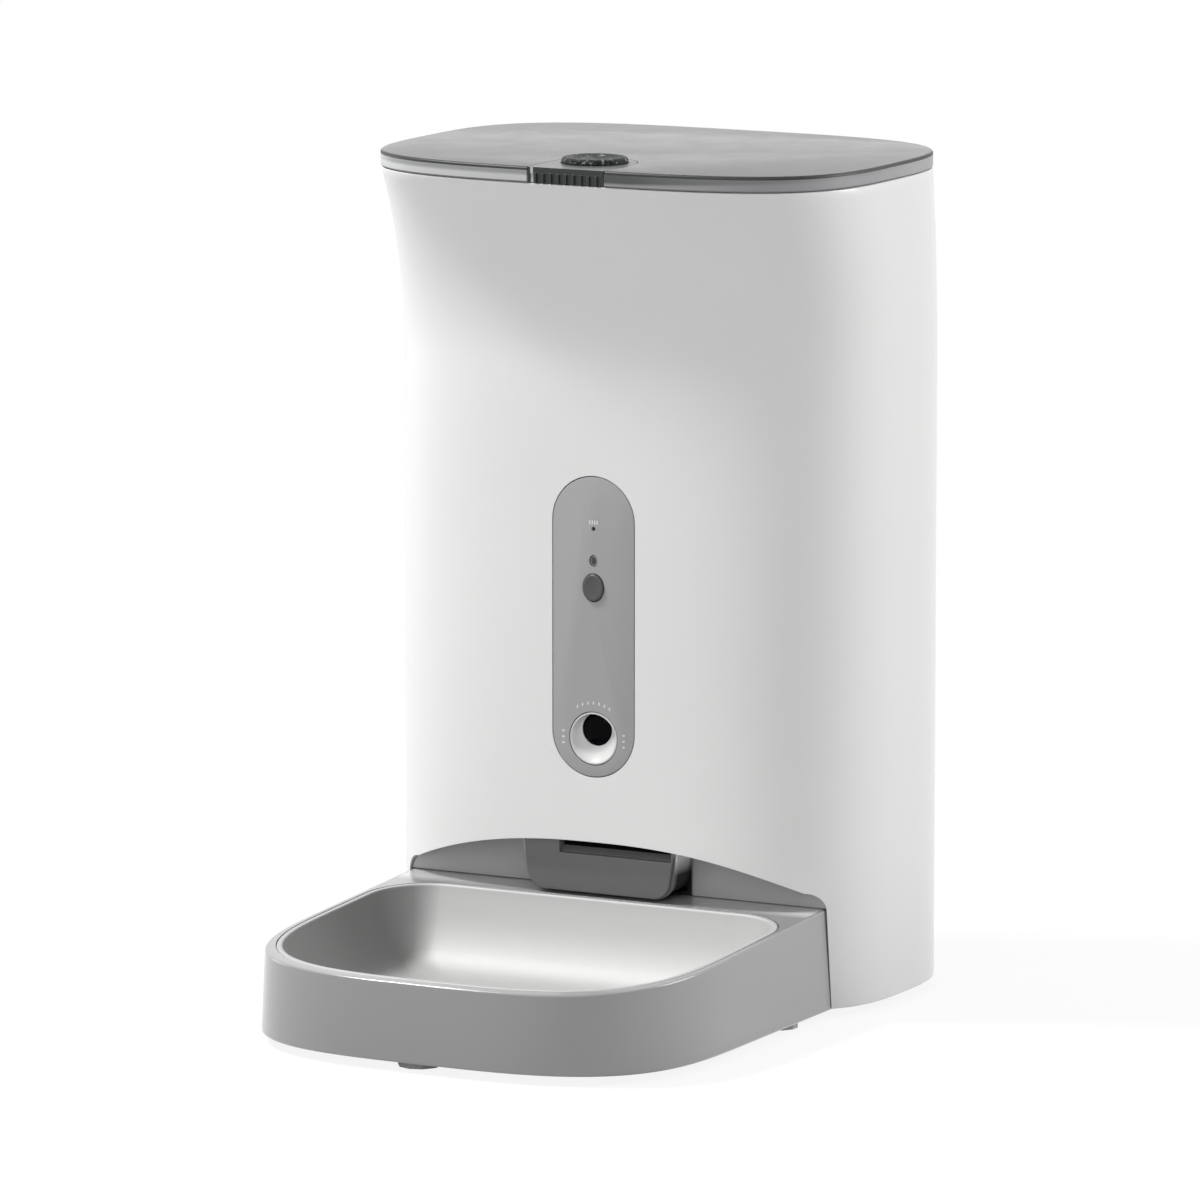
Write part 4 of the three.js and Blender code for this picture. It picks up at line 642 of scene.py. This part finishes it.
def super_outline(half_x, front, back, exponent, inset=0.0, count=224):
    half_y, middle = (back - front) / 2, (back + front) / 2
    return [super_point(2 * math.pi * i / count, half_x, half_y, middle, exponent, inset) for i in range(count)]


def super_front(half_x, depth, exponent, inset, steps=96):
    """The front half of a superellipse, from its left end to its right one."""
    turns = [-math.pi + math.pi * i / steps for i in range(steps + 1)]
    return [super_point(turn, half_x, depth, ARC_START, exponent, inset) for turn in turns]


# Shell and hopper

def flare_share(z):
    return min(max((z - FLARE_BOTTOM) / (SHELL_TOP - FLARE_BOTTOM), 0), 1) ** 2


def shell_front(z):
    return SHELL_FRONT - OVERHANG * flare_share(z)


def flared_outline(z, rise, inset, count=224):
    share = flare_share(z)
    return super_outline(SHELL_HALF - TOP_DRAFT * share, shell_front(z), SHELL_BACK, SHELL_EXPONENT + rise * share,
                         inset, count)


def shell_ring(z, inset=0.0):
    return [(x, y, z) for x, y in flared_outline(z, EXPONENT_RISE, inset)]


def capsule(grow):
    """Outline of the front panel and, grown, of its opening in the shell."""
    radius = PANEL_HALF + grow
    return (arc(0, PANEL_TOP - PANEL_HALF, radius, 0, math.pi, 32)
            + arc(0, PANEL_BOTTOM + PANEL_HALF, radius, math.pi, 2 * math.pi, 32))


def rim_at(offset=0.0):
    """Height of the tray's sloped rim, moved by the offset."""
    return lambda x, y: RIM_HEIGHT + RIM_SLOPE * y + offset


def arch_outline(grow):
    """The shell's arch over the tray, open below."""
    def drop(x):
        return ARCH_HEIGHT - ARCH_DROP * (abs(x) / ARCH_WIDTH) ** ARCH_POWER

    side, foot = TRAY_HALF + GAP + grow, TRAY_HALF + TRAY_DRAFT + GAP + grow
    right = [(ARCH_SHOULDER * i / 40, drop(ARCH_SHOULDER * i / 40)) for i in range(41)]
    end = drop(ARCH_SHOULDER)
    low = end - ARCH_CORNER
    for turn in (math.pi / 2 * i / 8 for i in range(1, 9)):
        right.append((ARCH_SHOULDER + (side - ARCH_SHOULDER) * math.sin(turn), low + (end - low) * math.cos(turn)))
    right.append((foot, -BEYOND))
    left = [(-x, z) for x, z in right[1:]]
    return list(reversed(right)) + left


def ear_span(side, extra=0.0):
    half = ARM_WIDTH / 2 + GAP + EAR_WIDTH + extra
    return side * HINGE_X - half, side * HINGE_X + half


def build_shell():
    edge = SHELL_EDGE
    outer = [shell_ring(SHELL_BOTTOM, edge), shell_ring(SHELL_BOTTOM + edge * 0.3, edge * 0.3)]
    outer += [shell_ring(z) for z in (SHELL_BOTTOM + edge, 60, 120, 180, FLARE_BOTTOM - 10)]
    outer += [shell_ring(FLARE_BOTTOM + (SHELL_TOP - edge - FLARE_BOTTOM) * i / 24) for i in range(25)]
    outer += [shell_ring(SHELL_TOP - edge * 0.3, edge * 0.3), shell_ring(SHELL_TOP, edge)]
    inner = [shell_ring(SHELL_TOP, SHELL_WALL)]
    inner += [shell_ring(FLARE_BOTTOM + (SHELL_TOP - FLARE_BOTTOM) * (1 - i / 16), SHELL_WALL) for i in range(1, 17)]
    inner += [shell_ring(z, SHELL_WALL) for z in (120, SHELL_BOTTOM)]
    shell = loft("shell_white", outer + inner, closed=True)
    tools = [
        bar_along_y("arch", arch_outline(GAP), SHELL_FRONT - BEYOND, TRAY_BACK + SHELL_WALL),
        bar_along_y("capsule", capsule(PANEL_FIT), SHELL_FRONT - BEYOND, SHELL_FRONT + 2 * SHELL_WALL),
        rod_along_y("inlet", INLET_RADIUS, INLET_X, INLET_Z, INLET_START, SHELL_BACK + BEYOND),
    ]
    for x in (i * SLOT_PITCH for i in range(-2, 3)):
        tools.append(box("slot", SPEAKER_X + x - SLOT_HALF_WIDTH, SPEAKER_X + x + SLOT_HALF_WIDTH,
                         SLOT_START, SHELL_BACK + BEYOND, SLOT_LOW, SLOT_HIGH))
    cut(shell, *tools)

    profile = [(SHELL_BACK - SHELL_WALL, HINGE_Z - EAR_DROP), (SHELL_BACK, HINGE_Z - EAR_DROP),
               (HINGE_Y + KNUCKLE * math.cos(math.pi / 6), HINGE_Z - KNUCKLE / 2),
               (HINGE_Y, HINGE_Z + EAR_TOP), (SHELL_BACK - SHELL_WALL, HINGE_Z + EAR_TOP)]
    ears = []
    for side in (-1, 1):
        low, high = ear_span(side)
        for x in (low, high - EAR_WIDTH):
            ears.append(bar_along_x("ear", profile, x, x + EAR_WIDTH))
            ears.append(rod_along_x("knuckle", KNUCKLE, HINGE_Y, HINGE_Z, x, x + EAR_WIDTH))
    join(shell, *ears)
    cut(shell, *[rod_along_x("bore", PIN_BORE, HINGE_Y, HINGE_Z, *ear_span(side, BEYOND)) for side in (-1, 1)])
    settle(shell, "white", "feeder", ["outer_shell"])


def hopper_outline(z, inset):
    if z <= HOPPER_BOTTOM:
        return super_outline(SEAT_RADIUS, ROTOR_Y - SEAT_RADIUS, ROTOR_Y + SEAT_RADIUS, 2.0, inset, HOPPER_STEPS)
    if z >= FLARE_JOIN:
        return flared_outline(z, CAD_EXPONENT_RISE, inset + SHELL_WALL + HOPPER_CLEARANCE, HOPPER_STEPS)
    return super_outline(BIN_HALF, BIN_FRONT, SHELL_BACK - SHELL_WALL - HOPPER_CLEARANCE, BIN_EXPONENT, inset,
                         HOPPER_STEPS)


def hopper_side(inset):
    """Rings of one side of the hopper, close enough that its ruled stretches shade smoothly."""
    rings = []
    stretches = (HOPPER_BOTTOM, FUNNEL_TOP, 20), (FUNNEL_TOP, STRAIGHT_TOP, 1), (STRAIGHT_TOP, FLARE_JOIN, 10)
    for low, high, steps in stretches:
        ends = list(zip(hopper_outline(low, inset), hopper_outline(high, inset)))
        for share in (i / steps for i in range(steps)):
            rings.append([(a[0] + (b[0] - a[0]) * share, a[1] + (b[1] - a[1]) * share, low + (high - low) * share)
                          for a, b in ends])
    for z in (FLARE_JOIN + (HOPPER_TOP - FLARE_JOIN) * i / 10 for i in range(11)):
        rings.append([(x, y, z) for x, y in hopper_outline(z, inset)])
    return rings


def build_hopper():
    hopper = loft("hopper_bin", hopper_side(0) + hopper_side(HOPPER_WALL)[::-1], closed=True)
    settle(hopper, "natural", "feeder", ["hopper"])


# Tray and bowl

def tray_outline(half, inset, back=TRAY_BACK):
    points = super_front(half, ARC_START - TRAY_FRONT, TRAY_EXPONENT, inset)
    return points + [(half - inset, back - inset), (-(half - inset), back - inset)]


def bowl_outline(inset):
    points = super_front(BOWL_HALF, ARC_START - BOWL_FRONT, BOWL_EXPONENT, inset)
    radius = max(BOWL_CORNER - inset, BOWL_FLOOR_CORNER)
    x, y = BOWL_HALF - inset - radius, BOWL_BACK - inset - radius
    return points + arc(x, y, radius, 0, math.pi / 2, 16) + arc(-x, y, radius, math.pi / 2, math.pi, 16)


def build_tray():
    low, open_back, below = TRAY_HALF + TRAY_DRAFT, TRAY_BACK + TRAY_OPENING, -3
    rings = lofts_of(lambda inset: tray_outline(low, inset), [(0.5, TRAY_BOTTOM), (0, TRAY_BOTTOM + 0.6)])
    rings += lofts_of(lambda inset: tray_outline(TRAY_HALF, inset),
                      [(inset, rim_at(-depth)) for depth, inset in quarter_round(TRAY_EDGE, 5)])
    tray = loft("tray_grey", rings)
    seat = BOWL_SHEET + GAP
    hollow = lofts_of(lambda inset: tray_outline(low, inset, open_back),
                      [(TRAY_WALL, below), (TRAY_WALL, TRAY_BOTTOM)])
    hollow += lofts_of(lambda inset: tray_outline(TRAY_HALF, inset, open_back),
                       [(TRAY_WALL, rim_at(-seat - TRAY_WALL))])
    recess = lofts_of(bowl_outline, [(-BOWL_LIP - GAP, rim_at(-seat)), (-BOWL_LIP - GAP, rim_at(BEYOND))])
    opening = lofts_of(bowl_outline, [(-BOWL_SHEET - 2 * GAP, below), (-BOWL_SHEET - 2 * GAP, rim_at(BEYOND))])
    cut(tray, loft("hollow", hollow), loft("recess", recess), loft("opening", opening))
    settle(tray, "grey", "feeder", ["base_housing"])


def build_bowl():
    # Shares of the taper and of the depth from the rim to the floor
    profile = [(0, 0.03), (0.015, 0.08), (0.045, 0.16), (0.09, 0.28), (0.14, 0.4), (0.2, 0.52), (0.27, 0.63),
               (0.35, 0.74), (0.44, 0.83), (0.54, 0.9), (0.66, 0.95), (0.82, 0.985), (1, 1)]

    def down(share, below):
        return lambda x, y: rim_at()(x, y) * (1 - share) + BOWL_FLOOR * share - below

    inner = lofts_of(bowl_outline, [(BOWL_TAPER * s, down(d, 0)) for s, d in profile])
    outer = lofts_of(bowl_outline,
                     [(BOWL_TAPER * s - BOWL_SHEET * (1 - s), down(d, BOWL_SHEET * d)) for s, d in profile[2:]])
    lip = [(-BOWL_SHEET, rim_at(-BOWL_SHEET)), (-BOWL_LIP, rim_at(-BOWL_SHEET)), (-BOWL_LIP, rim_at(-0.5)),
           (-BOWL_LIP + 0.15, rim_at(-0.15)), (-BOWL_LIP + 0.5, rim_at()), (-1.0, rim_at()), (-0.5, rim_at(-0.06)),
           (-0.15, rim_at(-0.3))]
    bowl = loft("bowl_steel", list(reversed(outer)) + lofts_of(bowl_outline, lip) + inner)
    settle(bowl, "steel_bowl", "bowl", ["bowl"], sharp=50)


# Chute wall with the spout, and the spout's cover

def ramp_line(lift):
    front = SPOUT_FACE + LIP_DEPTH
    slope = (SPOUT_TOP - SILL) / (RAMP_BACK - front)
    return lambda y: SILL + slope * (y - front) + lift


def spout_front(grow, bottom):
    low, high, radius = SPOUT_LOW_HALF + grow, SPOUT_HALF + grow, SPOUT_CORNER + grow
    return (arc(low - radius, bottom + radius, radius, -math.pi / 2, 0, 14)
            + [(high, ARCH_HEIGHT), (high, SPOUT_TOP), (-high, SPOUT_TOP), (-high, ARCH_HEIGHT)]
            + arc(-low + radius, bottom + radius, radius, math.pi, 3 * math.pi / 2, 14))


def build_chute():
    deck, wall_back = rim_at(WALL_LIFT), WALL_FRONT + WALL_THICKNESS
    bottom = deck(0, wall_back)
    chute = box("chute_grey", -WALL_HALF, WALL_HALF, WALL_FRONT, wall_back, bottom, WALL_TOP)
    fill = bar_along_y("fill", arch_outline(-GAP), WALL_FRONT, wall_back)
    cut(fill, box("below", -SHELL_HALF, SHELL_HALF, WALL_FRONT - BEYOND, WALL_FRONT + BEYOND, -2 * BEYOND, bottom))
    front, back = SPOUT_FACE + COVER + GAP, SPOUT_BACK + BEYOND
    join(chute, fill, bar_along_y("body", spout_front(0, bottom), front, SPOUT_BACK))
    surface, under = ramp_line(0), ramp_line(-RAMP)

    def channel(y, left, right):
        above = SPOUT_TOP + 2 * BEYOND
        return bar_along_x("channel", [(y, surface(y)), (back, surface(back)), (back, above), (y, above)], left, right)

    inside, near, half = bottom + SPOUT_WALL, front + SPOUT_WALL, SPOUT_LOW_HALF - SPOUT_WALL
    underside = bar_along_x("underside", [(near, inside), (back, inside), (back, under(back)), (near, under(near))],
                            -half, half)
    cut(chute, channel(front - BEYOND, SLOT_LEFT, SLOT_RIGHT), channel(near, -half, SLOT_LEFT - SPOUT_WALL), underside)
    settle(chute, "spout", "feeder", ["chute"])

    cover_bottom = deck(0, WALL_FRONT) + COVER_INSET / 2
    cover = plate_along_y("spout_cover_grey", lambda inset: spout_front(-COVER_INSET - inset, cover_bottom + inset),
                          SPOUT_FACE, SPOUT_FACE + COVER, COVER_EDGE)
    cut(cover, box("slot", SLOT_LEFT, SLOT_RIGHT, SPOUT_FACE - BEYOND, SPOUT_FACE + BEYOND, SILL,
                   MID_FRAME_BOTTOM + BEYOND))
    settle(cover, "spout", "feeder", ["spout_cover"])


# Front panel, button, light, microphone and camera

def build_panel():
    plate = plate_along_y("panel_capsule", lambda inset: capsule(-inset), SHELL_FRONT, PANEL_BACK, PANEL_EDGE)
    join(plate, *[rod_along_y("post", POST_RADIUS, side * POST_X, z, PANEL_BACK - GAP, BEFORE_BOARD)
                  for side in (-1, 1) for z in POST_HEIGHTS])
    through = -BEYOND, 20
    cut(plate,
        bar_along_y("hole", oval(FEED_HALF_X + GAP, FEED_HALF_Z + GAP, FEED_HEIGHT), *through),
        bar_along_y("hole", oval(LED_HALF_X + GAP, LED_HALF_Z + GAP, LED_HEIGHT), *through),
        rod_along_y("hole", MIC_HOLE, 0, MIC_HEIGHT, *through),
        rod_along_y("hole", RING_RADIUS + GAP, 0, RING_HEIGHT, *through, steps=96))
    settle(plate, "panel", "feeder", ["front_panel"])


def build_feed_button():
    """A dished oval cap over a flange."""
    def ring(grow, y):
        return turn_to_y(oval(FEED_HALF_X + grow, FEED_HALF_Z + grow, FEED_HEIGHT), y)

    dish = (3.9, 0.35), (2.9, 0.3), (1.9, 0.18), (1.1, 0.05), (0.7, 0), (0.4, 0.06), (0.12, 0.25), (0, 0.5)
    rings = [ring(-inset, SHELL_FRONT - FEED_PROUD + depth) for inset, depth in dish]
    flange = PANEL_BACK + GAP
    rings += [ring(0, flange), ring(FEED_FLANGE, flange), ring(FEED_FLANGE, flange + FEED_FLANGE_DEPTH)]
    settle(loft("feed_button_cap", rings), "button", "feed_button", ["feed_button"])


def build_light_and_microphone():
    rings = [turn_to_y(oval(LED_HALF_X - inset, LED_HALF_Z - inset, LED_HEIGHT), y) for inset, y in (
        (1.1, SHELL_FRONT + LED_SINK), (0.5, SHELL_FRONT + LED_SINK + 0.04), (0, SHELL_FRONT + LED_SINK + 0.3),
        (0, BEFORE_BOARD))]
    settle(loft("status_light_pipe", rings), "lamp", "feeder", ["status_led"])

    profile = [(0, -2.7), (0.5, -2.7), (0.5, -2.5), (2.7, -2.5), (3, -2.3), (3, 0), (0, 0)]
    can = turned("microphone_can", profile, "Y", (0, BEFORE_BOARD, MIC_HEIGHT), steps=40)
    settle(can, "steel", "feeder", ["microphone"])


def build_camera():
    rise = LENS_HEIGHT - RING_HEIGHT
    # Radius, height over the ring's middle and depth behind the shell's front
    profile = [(RING_RADIUS, 0, RING_DEPTH), (RING_RADIUS, 0, 0.3), (9.6, 0, 0.08), (9.4, 0, 0), (9.15, 0, 0.02),
               (RING_MOUTH, 0.02, 0.12)]
    for share in (i / 8 for i in range(1, 9)):
        profile.append((RING_MOUTH + (LENS_RADIUS - RING_MOUTH) * share, rise * share,
                        0.12 + (LENS_DEPTH - 0.12) * math.sin(share * math.pi / 2)))
    profile.append((LENS_RADIUS, rise, RING_DEPTH))
    bezel = loft("camera_funnel", [turn_to_y(circle(radius, 0, RING_HEIGHT + over, 96), SHELL_FRONT + depth)
                                   for radius, over, depth in profile], closed=True)
    settle(bezel, "funnel", "feeder", ["camera_bezel"], sharp=40)

    edge = LENS_RADIUS - GAP
    profile = [(0, -0.9), (1.5, -0.86), (3, -0.7), (4.4, -0.42), (5.4, -0.12), (edge, 0), (edge, LENS_GLASS),
               (0, LENS_GLASS)]
    glass = turned("camera_glass", profile, "Y", (0, SHELL_FRONT + LENS_DEPTH, LENS_HEIGHT))
    settle(glass, "lens", "feeder", ["camera_lens"])

    start = SHELL_FRONT + LENS_DEPTH + LENS_GLASS + GAP
    profile = [(0, 1.6), (1.6, 1.6), (2.2, 1.2), (2.2, 0.9), (3.4, 0.5), (3.4, 0.2), (4.9, 0), (5.6, 0),
               (5.6, BARREL_BACK - start), (0, BARREL_BACK - start)]
    barrel = turned("camera_barrel_black", profile, "Y", (0, start, LENS_HEIGHT))
    settle(barrel, "black", "feeder", ["camera_barrel"])


# Lid and latch

def lid_outline(inset=0.0):
    return super_outline(LID_HALF, shell_front(SHELL_TOP), SHELL_BACK, LID_EXPONENT, inset)


def bezel_outline(grow):
    radius, front = LATCH_HALF + grow, shell_front(SHELL_TOP) - BEYOND
    return [(radius, front)] + arc(0, BUTTON_Y, radius, 0, math.pi, 32) + [(-radius, front)]


def build_lid():
    levels = [(0.25, LID_BOTTOM), (0, LID_BOTTOM + 0.3)]
    levels += [(inset, LID_TOP - depth) for depth, inset in quarter_round(LID_EDGE, 5)]
    lid = loft("lid_smoked", lofts_of(lid_outline, levels))
    tools = [prism("hollow", lid_outline(LID_RIM), LID_BOTTOM - BEYOND, LID_TOP - LID_PLATE),
             prism("bezel", bezel_outline(GAP), LID_BOTTOM - BEYOND, LID_TOP + BEYOND)]
    half = ARM_WIDTH / 2 + GAP
    for side in (-1, 1):
        tools.append(box("notch", side * HINGE_X - half, side * HINGE_X + half, SHELL_BACK - ARM_NOTCH,
                         SHELL_BACK + BEYOND, LID_BOTTOM - BEYOND, LID_FRAME_TOP + GAP))
    cut(lid, *tools)
    settle(lid, "smoke", "lid", ["lid_panel"])


def build_latch():
    front = shell_front(SHELL_TOP)

    def trim(inset):
        return prism("trim", lid_outline(inset), LID_BOTTOM - BEYOND, LID_TOP + BEYOND)

    plate = prism("latch_surround", bezel_outline(0), LID_FRAME_TOP + GAP, LID_TOP)
    keep(plate, trim(0))
    tab = box("tab", -LATCH_HALF, LATCH_HALF, front - BEYOND, front + LATCH_TAB, LID_BOTTOM, LID_TOP)
    keep(tab, trim(LATCH_TRIM))
    join(plate, tab)
    join(plate, *[box("rib", x - RIB_HALF, x + RIB_HALF, front - RIB_PROUD, front + LATCH_TAB, LID_BOTTOM,
                      LID_FRAME_TOP + RIB_RISE) for x in ((i - RIBS // 2) * RIB_PITCH for i in range(RIBS))])
    cut(plate, prism("hole", circle(BUTTON_RADIUS + GAP, 0, BUTTON_Y, 96), LID_BOTTOM, LID_TOP + BEYOND))
    settle(plate, "latch", "lid", ["latch_bezel"])

    top, low = LID_TOP + BUTTON_PROUD, LID_FRAME_TOP + BUTTON_TRAVEL + GAP
    profile = [(0, top - 0.9), (3, top - 0.85), (6, top - 0.65), (8.6, top - 0.25), (10, top - 0.02), (10.7, top),
               (11.4, top - 0.12), (11.95, top - 0.5), (BUTTON_RADIUS, top - 1.0), (BUTTON_RADIUS, low),
               (STEM_RADIUS, low), (STEM_RADIUS, STEM_BOTTOM), (0, STEM_BOTTOM)]
    cap = turned("latch_button_cap", profile, "Z", (0, BUTTON_Y, 0), steps=96)
    settle(cap, "cap", "latch_button", ["latch_button"])


# Looks of the CAD nodes that stay as they are

KEPT = {
    "grey": ["lid_frame", "base_plate", "battery_door"],
    "natural": ["mid_frame", "rotor_chamber", "outlet_baffle", "agitator", "battery_bay", "desiccant_box"],
    "dark": ["gearbox_housing", "gearbox_cover"],
    "black": ["push_switch", "dc_jack", "speaker"],
    "board": ["main_board", "front_board", "camera_board"],
    "silicone": ["rotor_wheel", "lid_seal"],
    "acetal": ["output_gear", "idler_gear", "shaft_bush", "latch_bolt"],
    "rubber": ["foot_left", "foot_right", "foot_rear_left", "foot_rear_right", "foot_front"],
    "brass": ["motor_pinion"],
    "steel": ["hinge_pin_left", "hinge_pin_right", "base_screw_1", "base_screw_2", "base_screw_3", "base_screw_4",
              "drive_shaft", "idler_axle", "motor", "battery_contact_front", "battery_contact_rear", "latch_keeper"],
}


def dress_kept_nodes():
    for look, names in KEPT.items():
        for name in names:
            dress(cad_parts[name].data, look, 35)


# Floor, background and lamps

WORLD_TONE, FLOOR_TONE, FLOOR_SEEN_TONE, FLOOR_REACH = 0.41, 0.42, 0.97, 12.0
LAMP_TARGET = Vector((0, 0, 0.15))


def build_floor():
    data = bpy.data.meshes.new("floor")
    corners = [(x * FLOOR_REACH, y * FLOOR_REACH, 0) for x, y in ((-1, -1), (1, -1), (1, 1), (-1, 1))]
    data.from_pydata(corners, [], [(0, 1, 2, 3)])
    plane = bpy.data.objects.new("floor", data)
    bpy.context.scene.collection.objects.link(plane)
    material, tree, shader = new_material("floor_white")
    seen = seen_as_background(tree)
    feed(tree, shader.inputs["Base Color"], mix_colours(tree, seen, grey(FLOOR_TONE), grey(FLOOR_SEEN_TONE)))
    shader.inputs["Roughness"].default_value = 1.0
    shader.inputs["Specular IOR Level"].default_value = 0.0
    # To the camera the floor pales into the background away from the object
    x, y, _ = axes(tree, place_in_object(tree))
    away = maths(tree, "SQRT", maths(tree, "ADD", maths(tree, "MULTIPLY", x, x), maths(tree, "MULTIPLY", y, y)))
    glow = tree.nodes.new("ShaderNodeEmission")
    glow.inputs["Color"].default_value = grey(1.0)
    glow.inputs["Strength"].default_value = 1.0
    blend = tree.nodes.new("ShaderNodeMixShader")
    feed(tree, blend.inputs["Fac"], maths(tree, "MULTIPLY", spread_to(tree, away, 0.14, 0.5, 0.88, 1.0), seen))
    tree.links.new(shader.outputs["BSDF"], blend.inputs[1])
    tree.links.new(glow.outputs["Emission"], blend.inputs[2])
    tree.links.new(blend.outputs["Shader"], tree.nodes["Material Output"].inputs["Surface"])
    data.materials.append(material)


def build_world():
    world = bpy.data.worlds.new("studio")
    bpy.context.scene.world = world
    world.use_nodes = True
    tree = world.node_tree
    tree.nodes.clear()
    out = tree.nodes.new("ShaderNodeOutputWorld")
    background = tree.nodes.new("ShaderNodeBackground")
    feed(tree, background.inputs["Color"],
         mix_colours(tree, seen_as_background(tree), grey(WORLD_TONE), grey(1.0)))
    background.inputs["Strength"].default_value = 1.0
    tree.links.new(background.outputs["Background"], out.inputs["Surface"])


def soft_lamp(name, azimuth, elevation, distance, width, height, power):
    """Area lamp on a sphere round the object. Azimuth 0 is in front of it and 90 to its right."""
    lamp = bpy.data.lights.new(name, "AREA")
    lamp.shape = "RECTANGLE"
    lamp.size, lamp.size_y = width, height
    lamp.energy = power
    made = bpy.data.objects.new(name, lamp)
    bpy.context.scene.collection.objects.link(made)
    a, e = math.radians(azimuth), math.radians(elevation)
    outwards = Vector((math.sin(a) * math.cos(e), -math.cos(a) * math.cos(e), math.sin(e)))
    made.location = LAMP_TARGET + distance * outwards
    made.rotation_euler = (LAMP_TARGET - made.location).to_track_quat("-Z", "Y").to_euler()


build_camera_view()
build_shell()
build_hopper()
build_tray()
build_bowl()
build_chute()
build_panel()
build_feed_button()
build_light_and_microphone()
build_camera()
build_lid()
build_latch()
dress_kept_nodes()
build_floor()
build_world()
soft_lamp("key_left", -67, 56, 2.4, 0.34, 0.34, 52)
soft_lamp("low_left", -92, 6, 2.6, 1.2, 0.8, 7)
soft_lamp("back_right", 121, 21, 2.6, 1.1, 1.6, 32)
soft_lamp("front_fill", 12, 20, 2.6, 2.0, 1.2, 10)

scene = bpy.context.scene
scene.view_settings.view_transform = "Standard"
